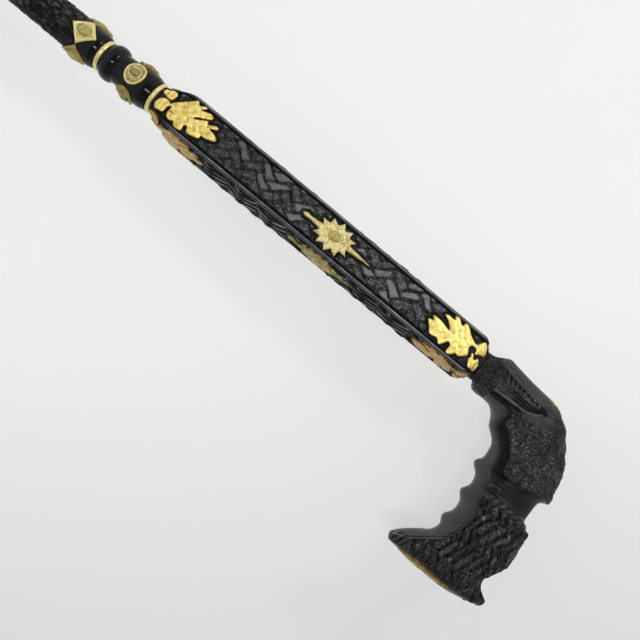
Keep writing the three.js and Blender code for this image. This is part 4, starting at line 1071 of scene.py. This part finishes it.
def buttRelief(grid, rounds):
    # height of the woven covering over the wood, its strips mixed with short curling strokes, its fringe
    # lobed and ribbed, and a double cord along its lower edge
    x, z = grid[..., 0], grid[..., 2]
    inside = insideFence(x, z, buttFence)
    run = levelRun(grid, rounds)
    weaveHeight, lit = woven(run, x, 9, buttWeave)
    bent = 1.3 * run + 1.2 * cloud(sheetPoints(run, x), 4.0, 14)
    strokes = 1 - 2.6 * np.abs(cloud(sheetPoints(bent * 0.8 + 0.3 * x, x * 0.3), 1.0, 15))
    strokes = np.clip(strokes, -0.6, 1)
    grains = granules(grid, buttSkin["grain"], 16)
    weaveHeight = weaveHeight + buttSkin["strokeRise"] * strokes + buttSkin["grainRise"] * grains
    fringeDistance = x - buttSkin["fringeStart"] - 0.5 * np.sin(2 * math.pi * z / buttSkin["lobe"])
    fringe = fallStep(buttSkin["fringeEnd"], buttSkin["fringeEnd"] + 0.7, fringeDistance)
    fringe = fringe * smoothStep(45, 46, z)
    lobes = np.abs(np.sin(math.pi * (z + 0.8 * (x - 55)) / buttSkin["lobe"])) ** 0.5
    ribs = np.sin(2 * math.pi * (x - buttSkin["fringeStart"] + 0.5 * strokes) / buttSkin["rib"])
    lower = np.where(x > 66, inside, 99)
    lower = np.where((x > 100) & (z > 60), 99, lower)
    cords = fallStep(3.0, 3.4, lower)
    cordShape = np.maximum(1 - np.abs((lower - 0.95) / 0.75) ** 2, 1 - np.abs((lower - 2.35) / 0.7) ** 2)
    cordShape = np.clip(cordShape, 0, 1)
    twist = 0.75 + 0.25 * np.sin(2 * math.pi * (x + 0.8 * z) / buttSkin["twist"])
    horn = smoothStep(104.5, 106.5, x) * np.maximum(smoothStep(74, 77, z), fallStep(26, 29, z))
    rings = np.sin(2 * math.pi * (z * 0.9 + 0.35 * x) / buttSkin["hornRing"])
    weaveShare = (1 - fringe) * (1 - cords) * (1 - horn)
    fringeHeight = -0.45 + buttSkin["lobeRise"] * lobes + buttSkin["ribRise"] * ribs
    cordHeight = -0.3 + buttSkin["cordRise"] * cordShape * twist
    height = weaveShare * weaveHeight + fringe * (1 - cords) * fringeHeight
    height += cords * (1 - horn) * cordHeight + horn * (0.05 + buttSkin["ringRise"] * rings)
    shown = smoothStep(-0.1, 0.7, inside)
    rim = smoothStep(buttSkin["rimStart"], buttSkin["rimStart"] + 0.8, x)
    height = height * (1 - rim) + 0.1 * rim
    # painted highlights on the strokes, lit strips, lobes, ribs, cords and horn rings; painted shade between
    # them
    bright = np.clip(strokes, 0, 1) ** 3
    high = weaveShare * np.clip(0.55 * lit + 0.8 * bright, 0, 1)
    high += fringe * lobes * (0.55 + 0.4 * ribs + 0.3 * bright)
    high += cords * cordShape * twist + horn * (0.4 + 0.3 * rings)
    return height * shown - handle["tuck"] * (1 - shown), np.clip(high, 0, 1) * shown


def coreWear(grid):
    # the core: sunk under the coverings and cut back beside them, with painted shade there and a painted
    # dark reflection on the waist, and a painted sheen on the finger side
    x, z = grid[..., 0], grid[..., 2]
    covered = np.maximum(insideFence(x, z, armFence), insideFence(x, z, buttFence))
    beside = smoothStep(7, 9, x) * smoothStep(24, 30, z) * fallStep(49, 53, z) * fallStep(52, 58, x)
    hollow = bell(covered + 2.4, 2.0) * beside * (0.5 + 0.5 * smoothStep(27, 33, z))
    # painted shade in the hollow beside the coverings, and a painted dark reflection on the waist
    dark = np.maximum(fallStep(3.5, 7.0, -covered) * beside, dot(x, z, (49, 47), 4.5))
    dark = np.maximum(dark, 0.45 * smoothStep(43, 47, x) * fallStep(53, 57, x) * smoothStep(42, 50, z))
    columns = grid.shape[1]
    fingerSide = 1 - np.abs(np.arange(columns) / columns * 2 - 1)[None, :] + 0 * x
    # painted sheen towards the finger side
    rubbed = smoothStep(0.55, 1.0, fingerSide) ** 2 * (1 + 0.25 * cloud(grid, 9.0, 41))
    return -handle["under"] * smoothStep(0.2, 1.6, covered) - 1.0 * hollow, dark, rubbed


print("handle")
lastStation = len(stations) - 1
coreGrid, _ = handleGrid(0, lastStation, handle["coreRows"], handle["coreColumns"], True)
coreHeight, dark, rubbed = coreWear(coreGrid)
addPiece("handle_core", raised(coreGrid, coreHeight), gripEbony, ["handle"],
         {"high": withEnds(1 - 0.95 * dark), "rubbed": withEnds(rubbed)}, 0)
armGrid, _ = handleGrid(0, handle["armEnd"], handle["armRows"], handle["armColumns"], False)
armHeight, armHigh = armRelief(armGrid)
addPiece("handle_arm", raised(armGrid, armHeight), pebbleEbony, ["handle"],
         {"high": withEnds(armHigh)}, 0)
buttGrid, buttRounds = handleGrid(handle["buttStart"], lastStation, handle["buttRows"],
                                  handle["buttColumns"], False)
buttHeight, buttHigh = buttRelief(buttGrid, buttRounds)
addPiece("handle_butt", raised(buttGrid, buttHeight), buttEbony, ["handle"],
         {"high": withEnds(buttHigh)}, 0)

# Plates, collets, stones and acorns

def onRound(radiusAt):
    # places on a turned body: across runs round it at the radius found at each height
    def put(across, z, lift):        # the angle whose sine is across / radius, at the radius plus the lift
        radius = radiusAt(z)
        angle = np.arcsin(np.clip(across / radius, -1, 1))
        return np.stack([(radius + lift) * np.sin(angle), -(radius + lift) * np.cos(angle), z], axis=-1)
    return put


def plate(fence, step, put, seat, relief):
    # a plate cut to an outline: rows of points inside it joined in triangles, the top worked and the
    # underside plain
    size = np.linalg.norm(np.roll(fence, -1, axis=0) - fence, axis=1)
    border = []
    for a, b, length in zip(fence, np.roll(fence, -1, axis=0), size):
        pieces = max(1, round(length / step))
        border.append(a + (b - a) * (np.arange(pieces) / pieces)[:, None])
    border = np.concatenate(border)
    low, high = border.min(axis=0), border.max(axis=0)
    rows = np.arange(low[1], high[1], step * 0.87)
    columns = np.arange(low[0], high[0], step)
    lattice = np.stack([columns[None] + (np.arange(len(rows)) % 2)[:, None] * step / 2,
                        np.broadcast_to(rows[:, None], (len(rows), len(columns)))], axis=-1).reshape(-1, 2)
    lattice = lattice[fenceDistance(lattice, border) > step * 0.55]
    count = len(border)
    loop = [(k, (k + 1) % count) for k in range(count)]
    found = delaunay_2d_cdt([Vector(p) for p in np.vstack([border, lattice])], loop, [], 1, 1e-5)
    flat = np.array([tuple(p) for p in found[0]])
    tris = np.array(found[2])
    depth = np.maximum(fenceDistance(flat, border), 0)
    lift, shine = relief(flat, depth)
    top = put(flat[:, 0], flat[:, 1], seat + lift)
    under = put(flat[:, 0], flat[:, 1], np.full(len(flat), seat - 0.5))
    total = len(flat)
    ways = np.concatenate([tris[:, [0, 1]], tris[:, [1, 2]], tris[:, [2, 0]]])
    rim = ways[~np.isin(ways[:, 0] * total + ways[:, 1], ways[:, 1] * total + ways[:, 0])]
    walls = np.stack([rim[:, 1], rim[:, 0], rim[:, 0] + total, rim[:, 1] + total], axis=1)
    shape = np.vstack([top, under]), [tris, tris[:, ::-1] + total, walls]
    return shape, np.concatenate([shine, shine * 0])


def leafRelief(stalk, way, length, seed, crumpled):
    # a domed blade with a midrib, slanting veins to the lobes and a crumpled skin of gilding
    def relief(flat, depth):         # height and shine of places on the plate, from their depth inside it
        along = (flat[:, 1] - stalk) * way
        bend = 0.9 * np.sin(along / length * 2.4)
        off = flat[:, 0] - bend
        body = 0.5 + 0.65 * (1 - np.exp(-depth / 0.8))
        rib = bell(off, 0.5) * fallStep(0.8, 1.0, along / length)
        where = sheetPoints(flat[:, 0], flat[:, 1], seed * 3.0)
        slant = along - 0.95 * np.abs(off) + 0.6 * np.sign(off) + 0.8 * cloud(where, 4.0, seed + 2)
        patchy = 0.55 + 0.45 * cloud(where, 3.2, seed + 3)
        veins = (0.5 - 0.5 * np.cos(2 * math.pi * slant / 4.8)) ** 1.5 * smoothStep(0.4, 1.4, depth)
        veins = veins * patchy * crumpled
        crumple = crumpled * (0.17 * cloud(where, 2.3, seed) + 0.15 * cloud(where, 1.2, seed + 1))
        lift = body + 0.1 * rib - 0.28 * veins * (1 - rib) + 0.95 * crumple * smoothStep(0, 0.7, depth)
        # painted shade in the veins, painted highlights on the crumples
        shine = np.clip(smoothStep(0.05, 0.7, depth) * (0.9 - 0.35 * veins + 1.8 * crumple), 0, 1)
        return lift, shine
    return relief


def nutRelief(folds):
    # a low dome of crumpled gilding, with a few folds across it
    def relief(flat, depth):         # height and shine of places on the plate, from their depth inside it
        where = sheetPoints(flat[:, 0], flat[:, 1], 7.0)
        crumple = 0.16 * cloud(where, 1.7, 8) + 0.13 * cloud(where, 0.8, 9)
        creases = folds * bell((flat[:, 1] + 3.0 * crumple) % mounts["nutFold"] - 1.2, 0.5)
        crown = 0.45 + 0.9 * (1 - np.exp(-depth / 1.3))
        lift = crown + (crumple - 0.3 * creases) * smoothStep(0, 0.6, depth)
        # painted shade in the creases, painted highlights on the crumples
        shine = smoothStep(0.05, 0.7, depth) * (0.85 + 1.6 * crumple - 0.55 * creases)
        return lift, np.clip(shine, 0, 1)
    return relief


def starRelief(flat, depth):
    # flat gold with a bevelled edge and a granulated face
    where = sheetPoints(flat[:, 0], flat[:, 1], 2.0)
    grains = granules(where, mounts["starGrain"], 21)
    bevel = 0.6 + 0.7 * np.minimum(depth, 1) ** 0.7
    worked = mounts["starGrainRise"] * grains + 0.1 * cloud(where, 2.4, 5)
    lift = bevel + worked * smoothStep(0.3, 0.8, depth)
    # painted highlights on the grains and along the bevelled edge, painted shade between the grains
    return lift, np.clip(0.15 + 0.85 * grains + 0.5 * smoothStep(1.0, 0.2, depth), 0, 1)


def ovalRing(put, centre, halfWidth, halfHeight, base, wall, height, beads):
    # a round-topped wall carried about an oval, its crest broken into small beads
    u = np.linspace(0, 2 * math.pi, beads * 6, endpoint=False)[:, None]
    v = np.linspace(0, 2 * math.pi, 12, endpoint=False)[None, :]
    out = wall / 2 * np.cos(v)
    crest = 1 + 0.14 * (np.abs(np.sin(beads * u / 2)) - 0.5)
    lift = base + np.where(np.sin(v) > 0, height * crest, 0.5) * np.sin(v)
    x = (halfWidth + wall / 2 + out) * np.cos(u)
    z = centre + (halfHeight + wall / 2 + out) * np.sin(u)
    points = put(x, z, np.broadcast_to(lift, x.shape))
    # painted highlight along the crest, painted shade down the wall's sides
    shine = np.broadcast_to(np.clip(0.4 + 0.6 * np.sin(v) * crest, 0, 1), x.shape)
    return (points.reshape(-1, 3), [gridFaces(len(u), v.shape[1], True)]), shine.ravel()


def dome(put, centre, halfWidth, halfHeight, base, height):
    # an oval cabochon: the rim rises steeply and the crown is an ellipse
    t = np.linspace(0, math.pi / 2 - 0.02, 22)[:, None]
    u = np.linspace(0, 2 * math.pi, 48, endpoint=False)[None, :]
    spread = np.cos(t) ** 0.8
    x, z = halfWidth * spread * np.cos(u), centre + halfHeight * spread * np.sin(u)
    skirt = put(halfWidth * np.cos(u), centre + halfHeight * np.sin(u), np.full(u.shape, base - 0.4))
    points = put(x, z, base + height * np.sin(t) + 0 * u)
    return closedTube(np.concatenate([skirt, points], axis=0))


def disc(put, centre, radius, base, thickness, relief, rings, columns):
    # a round plate: an upright edge, then circles drawn in to the middle with a worked height
    share = np.concatenate([[1, 1], np.linspace(0.985, 0.01, rings)])[:, None]
    u = np.linspace(0, 2 * math.pi, columns, endpoint=False)[None, :]
    lift = np.concatenate([np.full((1, columns), base - 0.5), np.full((1, columns), base + thickness * 0.6),
                           base + thickness + relief(share[2:] * radius, u)])
    points = put(radius * share * np.cos(u), centre + radius * share * np.sin(u), lift)
    # painted highlight on the raised parts, painted shade on the low ones
    shine = np.clip(0.1 + 2.4 * (lift - base - thickness), 0, 1)
    return closedTube(points), np.append(shine.ravel(), [0, shine[-1].mean()])


# half width and half height of each stone's pocket, foot and height of its collet, the collet's beads, and
# foot and crown of the stone, in mm; a stone reaches a little under the wall of its collet
stones = dict(wall=0.9, overlap=0.05,
              star=dict(pocket=(2.7, 3.9), foot=1.3, height=0.9, beads=30, stoneFoot=1.5, crown=1.9),
              rosette=dict(pocket=(2.1, 3.2), foot=0.9, height=1.2, beads=24, stoneFoot=1.0, crown=2.0),
              lozenge=dict(pocket=(2.8, 4.7), foot=0.8, height=1.1, beads=34, stoneFoot=0.9, crown=2.2),
              back=dict(pocket=(3.0, 4.2), foot=1.5, height=0.9, beads=28, stoneFoot=1.6, crown=1.7))


def colletFor(kind, put, centre):
    # the beaded collet of one kind of stone
    sizes = stones[kind]
    return ovalRing(put, centre, *sizes["pocket"], sizes["foot"], stones["wall"], sizes["height"],
                    sizes["beads"])


def stoneFor(kind, put, centre):
    # the stone of one kind, filling its pocket
    sizes = stones[kind]
    halfWidth, halfHeight = (half + stones["overlap"] for half in sizes["pocket"])
    return dome(put, centre, halfWidth, halfHeight, sizes["stoneFoot"], sizes["crown"])


def addOnFaces(prefix, shape, material, node, high=None, deep=0.0, crease=45):
    # the same mount on all four faces, with painted shade dulling its gilding on the right and the left
    points, faceSets = shape
    for face, side in enumerate(faces):
        values = {"deep": np.full(len(points), deep)}
        if high is not None:
            # painted shade on the side faces
            values = {"high": high * (mounts["sidePaintedShade"] if face % 2 else 1)}
        turned = faceTurn(points, face), faceSets
        addPiece(prefix + "_" + side, turned, material, [node + "_" + side], values, crease)


seat = mounts["gap"]


def mountPlate(fence, put, relief):
    # a plate of a mount, a gap above the wood
    return plate(fence, mounts["step"], put, seat, relief)


def nuts(outlines, level, way, folds):
    # a pair of plates whose outlines are given across and away from a level
    parts, shines = [], []
    for outline in outlines:
        curve = roundedFence(outline, 3)
        curve = np.stack([curve[:, 0], level + way * curve[:, 1]], axis=1)
        part, shine = mountPlate(curve, onShaft, nutRelief(folds))
        parts.append(part)
        shines.append(shine)
    return joined(parts), np.concatenate(shines)


print("leaves, acorns and stars")
hiltBlade = leafRelief(hiltStalk, -1, mounts["hiltLeaf"], 1, mounts["hiltCrumple"])
knopBlade = leafRelief(knopStalk, 1, mounts["knopLeaf"], 4, mounts["knopCrumple"])
leaf, shine = mountPlate(hiltFence, onShaft, hiltBlade)
addOnFaces("gilt_leaf_hilt", leaf, leafGilt, "hilt_leaf", shine)
leaf, shine = mountPlate(knopFence, onShaft, knopBlade)
# the knop's leaf a little duller than the hilt's
addOnFaces("gilt_leaf_knop", leaf, leafGilt, "knop_leaf", shine * mounts["knopDimming"])
pair, shine = nuts(hiltNuts, shaftTop, -1, 0.0)
addOnFaces("gilt_acorns_hilt", pair, leafGilt, "hilt_acorns", shine)
pair, shine = nuts(knopNuts, shaftFoot, 1, 1.0)
addOnFaces("gilt_acorns_knop", pair, leafGilt, "knop_acorns", shine)
star, shine = mountPlate(starOutline, onShaft, starRelief)
collet, colletShine = colletFor("star", onShaft, starCentre)
addOnFaces("gold_star", joined([star, collet]), paleGold, "star",
           np.concatenate([shine, colletShine]))
addOnFaces("stone_star", stoneFor("star", onShaft, starCentre), greenStone, "star_stone")


# Knop, rings and rosettes

knop = dict(radius=11.6, waist=9.7, bead=11.9, beadHeight=5.7, beadHalf=4.4, soften=0.045, rosette=6.7,
            rosetteDrop=14.0, rosetteThickness=0.8, ringRadius=10.2, ringShine=0.8, columns=120)
rosetteSkin = dict(rim=6.0, rimWidth=0.45, rimRise=0.6, beads=28, dish=4.6, dishWidth=0.9, dishDepth=0.2,
                   grain=0.95, grainRise=0.38)
urn = np.array([[0, 0.1], [0.3, 0], [0.42, 0.1], [0.62, 0.75], [0.78, 1], [0.9, 0.85], [0.96, 0.45],
                [1, 0.1]])


def knopRadius(z):
    # an urn over a round bead, whichever stands further out; the urn's corners are softened by a mean
    height = np.asarray(z) - knopFoot
    share = height / (knopTop - knopFoot)
    steps = np.linspace(-knop["soften"], knop["soften"], 9)
    softened = sum(np.interp(share + step, urn[:, 0], urn[:, 1]) for step in steps) / len(steps)
    fromBead = (height - knop["beadHeight"]) / knop["beadHalf"]
    bead = np.sqrt(np.clip(1 - fromBead ** 2, 0, 1))
    return np.maximum(knop["waist"] + (knop["radius"] - knop["waist"]) * softened,
                      knop["waist"] + (knop["bead"] - knop["waist"]) * bead)


def rimProfile(low, high, radius):
    # flat ends and a half-round rim
    half = (high - low) / 2
    t = np.linspace(-math.pi / 2, math.pi / 2, 16)
    rim = [(radius - half + half * math.cos(a), (low + high) / 2 + half * math.sin(a)) for a in t]
    return [(radius * 0.5, low)] + rim + [(radius * 0.5, high)]


print("knop, rings and rosettes")
heights = np.linspace(knopFoot, knopTop, 110)
knopProfile = np.stack([knopRadius(heights), heights], axis=1)
addPiece("turned_knop", revolved(knopProfile, knop["columns"]), knopEbony, ["knop"],
         None, 35)
for name, node in (("gold_ring_lower", "lower_ring"), ("gold_ring_upper", "upper_ring")):
    low, high = span(node)
    ring = revolved(rimProfile(low[2], high[2], knop["ringRadius"]), knop["columns"])
    shine = np.full(len(ring[0]), knop["ringShine"])
    addPiece(name, ring, paleGold, [node], {"high": shine}, 35)

onKnop = onRound(knopRadius)
rosetteCentre = knopTop - knop["rosetteDrop"]


def rosetteRelief(radius, u):
    # a rim of small beads, a dished band of grains and a low boss under the collet
    rim = rosetteSkin["rimRise"] * bell(radius - rosetteSkin["rim"], rosetteSkin["rimWidth"])
    beads = 0.5 + 0.5 * np.cos(rosetteSkin["beads"] * u)
    grains = granules(sheetPoints(radius * np.cos(u), radius * np.sin(u)), rosetteSkin["grain"], 23)
    dish = rosetteSkin["dishDepth"] * bell(radius - rosetteSkin["dish"], rosetteSkin["dishWidth"])
    grains = rosetteSkin["grainRise"] * grains * smoothStep(5.6, 5.2, radius)
    return rim * (0.4 + 0.6 * beads) - dish + grains


rosette, shine = disc(onKnop, rosetteCentre, knop["rosette"], seat, knop["rosetteThickness"],
                      rosetteRelief, 34, 168)
collet, colletShine = colletFor("rosette", onKnop, rosetteCentre)
addOnFaces("gold_rosette", joined([rosette, collet]), paleGold, "rosette",
           np.concatenate([shine, colletShine]), crease=50)
addOnFaces("stone_rosette", stoneFor("rosette", onKnop, rosetteCentre), greenStone, "rosette_stone",
           deep=0.65)


# Lower shaft: a smooth head with lozenges, then carved bark down to the ferrule

bark = dict(foot=8.4, head=11.6, neck=10.4, neckLength=4.0, wave=0.35, waveLength=52.0, start=34.0,
            columns=128, fineLength=95.0, fineStep=0.45, coarseStep=0.95, textureStart=13.5, girth=11.0,
            depth=0.85, sunk=0.3, ridges=8, ridgeTurn=0.055, ridgeStray=3.2, lump=3.4, lumpRise=0.5,
            shine=(1.5, 0.32))


def barkRadius(below, angle):
    # radius at a distance below the head: a rounded neck, a straight taper, and a slow wave of
    # sin(2 pi below / length + 2 angle)
    neck = np.sin(np.minimum(1, below / bark["neckLength"]) * math.pi / 2)
    length = lowerTop - ferruleTop
    taper = np.clip((below - bark["start"]) / (length - bark["start"]), 0, 1)
    swell = bark["wave"] * smoothStep(bark["start"], bark["start"] + bark["waveLength"], below)
    plain = bark["neck"] + (bark["head"] - bark["neck"]) * neck + (bark["foot"] - bark["head"]) * taper
    return plain + swell * np.sin(below / bark["waveLength"] * 2 * math.pi + 2 * angle)


def barkTexture(below, angle):
    # long curling ridges, 1 - |sin| of the angle, the way down and a wandering noise, with lumps and a fine
    # tooth between them
    def around(scale, stretch):      # places round the stick; a stretch below 1 draws the noise out along it
        reach = bark["girth"] * np.cos(angle) * scale, bark["girth"] * np.sin(angle) * scale
        return np.stack([*reach, below * stretch], axis=-1)
    where = around(1, 0.42)
    wander = cloud(where, 4.0, 31) + 0.6 * cloud(where, 1.8, 32)
    turn = angle * bark["ridges"] + below * bark["ridgeTurn"] + bark["ridgeStray"] * wander
    ridges = 1 - np.abs(np.sin(turn))
    lumps = granules(around(1, 0.7), bark["lump"], 33)
    fine = cloud(around(3, 1.4), 2.2, 34)
    return 0.62 * ridges ** 1.2 + bark["lumpRise"] * lumps + 0.26 * fine - 0.65


print("lower shaft")
length = lowerTop - ferruleTop
below = np.concatenate([np.arange(0, bark["fineLength"], bark["fineStep"]),
                        np.arange(bark["fineLength"], length, bark["coarseStep"]), [length]])[::-1]
angles = np.arange(bark["columns"]) * 2 * math.pi / bark["columns"]
below, angle = np.broadcast_arrays(below[:, None], angles[None, :])
texture = barkTexture(below, angle)
ragged = 1.6 * np.cos(4 * angle) + 0.9 * np.cos(9 * angle + 1)
cut = smoothStep(bark["textureStart"] - 1, bark["textureStart"] + 1.5, below + ragged)
cut = cut * fallStep(length - 3, length - 1, below)
reach = barkRadius(below, angle) + cut * (texture * bark["depth"] - 0.1)
reach = reach - bark["sunk"] * (1 - cut) * (below > 0.5) * (below < 30)           # under the polished head
trunk = np.stack([reach * np.cos(angle), reach * np.sin(angle), lowerTop - below], axis=-1)
# painted shade in the bark's hollows, painted highlights on its ridges and lumps
gain, base = bark["shine"]
addPiece("bark_shaft", closedTube(trunk), barkEbony, ["lower_shaft"],
         {"high": withEnds(np.clip(texture * gain + base, 0, 1))}, 0)

headDown = np.linspace(bark["textureStart"] + 0.5, 0.02, 60)
headProfile = np.stack([barkRadius(headDown, 0 * headDown), lowerTop - headDown], axis=1)
addPiece("polished_head", revolved(headProfile, knop["columns"]), knopEbony, ["lower_shaft"],
         None, 35)

onHead = onRound(lambda z: np.full(np.shape(z), bark["head"]))
lozenge = dict(halfWidth=8.0, halfHeight=9.1, drop=12.2, border=1.5, borderRise=0.5, fieldRise=0.75,
               grain=1.1, grainRise=0.36)
lozengeCentre = lowerTop - lozenge["drop"]


def lozengeRelief(flat, depth):
    # a raised border round a granulated field
    grains = granules(sheetPoints(flat[:, 0], flat[:, 1], 6.0), lozenge["grain"], 14)
    border = 1 - smoothStep(lozenge["border"] - 0.25, lozenge["border"] + 0.1, depth)
    lift = lozenge["fieldRise"] + border * lozenge["borderRise"] * smoothStep(0, 0.4, depth)
    lift = lift + (1 - border) * (lozenge["grainRise"] * grains - 0.1)
    # painted highlights on the border and the grains, painted shade between the grains
    return lift, np.clip(0.95 * border + (1 - border) * (0.9 * grains - 0.1), 0, 1)


diamond = np.array([(0, -lozenge["halfHeight"]), (lozenge["halfWidth"], 0), (0, lozenge["halfHeight"]),
                    (-lozenge["halfWidth"], 0)]) + np.array([0, lozengeCentre])
field, shine = mountPlate(diamond, onHead, lozengeRelief)
collet, colletShine = colletFor("lozenge", onHead, lozengeCentre)
addOnFaces("gold_lozenge", joined([field, collet]), paleGold, "lozenge",
           np.concatenate([shine, colletShine]))
addOnFaces("stone_lozenge", stoneFor("lozenge", onHead, lozengeCentre), greenStone, "lozenge_stone",
           deep=0.2)


# Ferrule, and the plate and stone of the handle

print("ferrule, end plate and back stone")
ferrule = dict(bore=3.0, foot=7.1, mouth=8.5, bead=0.8, lip=7.2)
low, high = span("ferrule")
beadTop = high[2] - ferrule["bead"]
turn = np.linspace(-math.pi / 2, math.pi / 2, 14)
profile = [(ferrule["bore"], low[2]), (ferrule["foot"] - 0.4, low[2]), (ferrule["foot"], low[2] + 0.5)]
profile += [(ferrule["mouth"] - 0.02, beadTop - ferrule["bead"] - 0.4)]
profile += [(ferrule["mouth"] + ferrule["bead"] * math.cos(t), beadTop + ferrule["bead"] * math.sin(t))
            for t in turn]
profile += [(ferrule["lip"], high[2])]
addPiece("brass_ferrule", revolved(profile, 96), brass, ["ferrule"], None, 35)

endPlate = dict(halfHeight=20.2, halfWidth=9.5, edge=1.1, crown=1.2, recess=0.8, height=46.0, beads=46,
                beadRise=0.28, beadAt=0.93, beadWidth=0.025, grain=1.2, grainRise=0.45, cloudRise=0.16)


def endPlateShape():
    # an oval dome with a beaded border, lightly hammered inside it
    u = np.linspace(0, 2 * math.pi, 160, endpoint=False)[None, :]
    share = np.concatenate([[1, 1], np.cos(np.linspace(0.12, math.pi / 2 - 0.015, 40))])[:, None]
    x = endPlate["halfWidth"] * share * np.cos(u)
    z = endPlate["halfHeight"] * share * np.sin(u)
    out = endPlate["edge"] - endPlate["recess"] + endPlate["crown"] * np.sqrt(np.clip(1 - share ** 2, 0, 1))
    where = sheetPoints(x, z, 3)
    border = bell(share - endPlate["beadAt"], endPlate["beadWidth"])
    grains = granules(where, endPlate["grain"], 17) * smoothStep(0.9, 0.86, share)
    out = out + endPlate["beadRise"] * border * (0.6 + 0.4 * np.cos(endPlate["beads"] * u))
    out = out + endPlate["grainRise"] * grains + endPlate["cloudRise"] * cloud(where, 3.0, 18)
    out[0] = -endPlate["recess"]
    points = np.stack([handle["reach"] + out, x, shaftTop + endPlate["height"] + z], axis=-1)
    # painted highlights on the grains and the beaded border, with random patches
    shine = np.clip(0.9 * grains + 0.4 * border - 0.35 + 0.5 * cloud(where, 2.2, 19), 0, 1)
    return closedTube(points), withEnds(shine)


shape, shine = endPlateShape()
addPiece("gold_end_plate", shape, plateGold, ["handle_end_plate"], {"high": shine}, 50)

backStone = dict(depth=1.35, height=48.5, seat=0.8, step=0.5)


def backEdge(height):
    # how far out the back of the handle stands at a height above the shaft, between its stations
    return -handle["reach"] * np.interp(height / handle["rise"], stations[:13, 1], stations[:13, 0])


rimHalf = [half + stones["wall"] for half in stones["back"]["pocket"]]
backHalf = rimHalf[1]
backReach = backEdge(backStone["height"])
backDrop = backEdge(backStone["height"] - backHalf) - backEdge(backStone["height"] + backHalf)
backTilt = math.atan2(backDrop, 2 * backHalf)


def onBack(across, up, lift):
    # from the front face to the back of the handle: a quarter turn, a tilt and a move to the stone's place
    out = np.asarray(lift) - backStone["depth"]
    c, s = math.cos(backTilt), math.sin(backTilt)
    x = -out * c + up * s - backReach
    z = out * s + up * c + shaftTop + backStone["height"]
    return np.stack([x, across + 0 * x, z], axis=-1)


oval = np.linspace(0, 2 * math.pi, 40, endpoint=False)
rimOval = np.stack([rimHalf[0] * np.cos(oval), rimHalf[1] * np.sin(oval)], axis=1)
field, shine = plate(rimOval, backStone["step"], onBack, backStone["seat"],
                     lambda flat, depth: (1.0 + 0 * depth, 0.6 + 0 * depth))
collet, colletShine = colletFor("back", onBack, 0)
addPiece("gold_collet_back", joined([field, collet]), paleGold, ["handle_collet"],
         {"high": np.concatenate([shine, colletShine])}, 50)
addPiece("stone_back", stoneFor("back", onBack, 0), greenStone, ["handle_stone"])
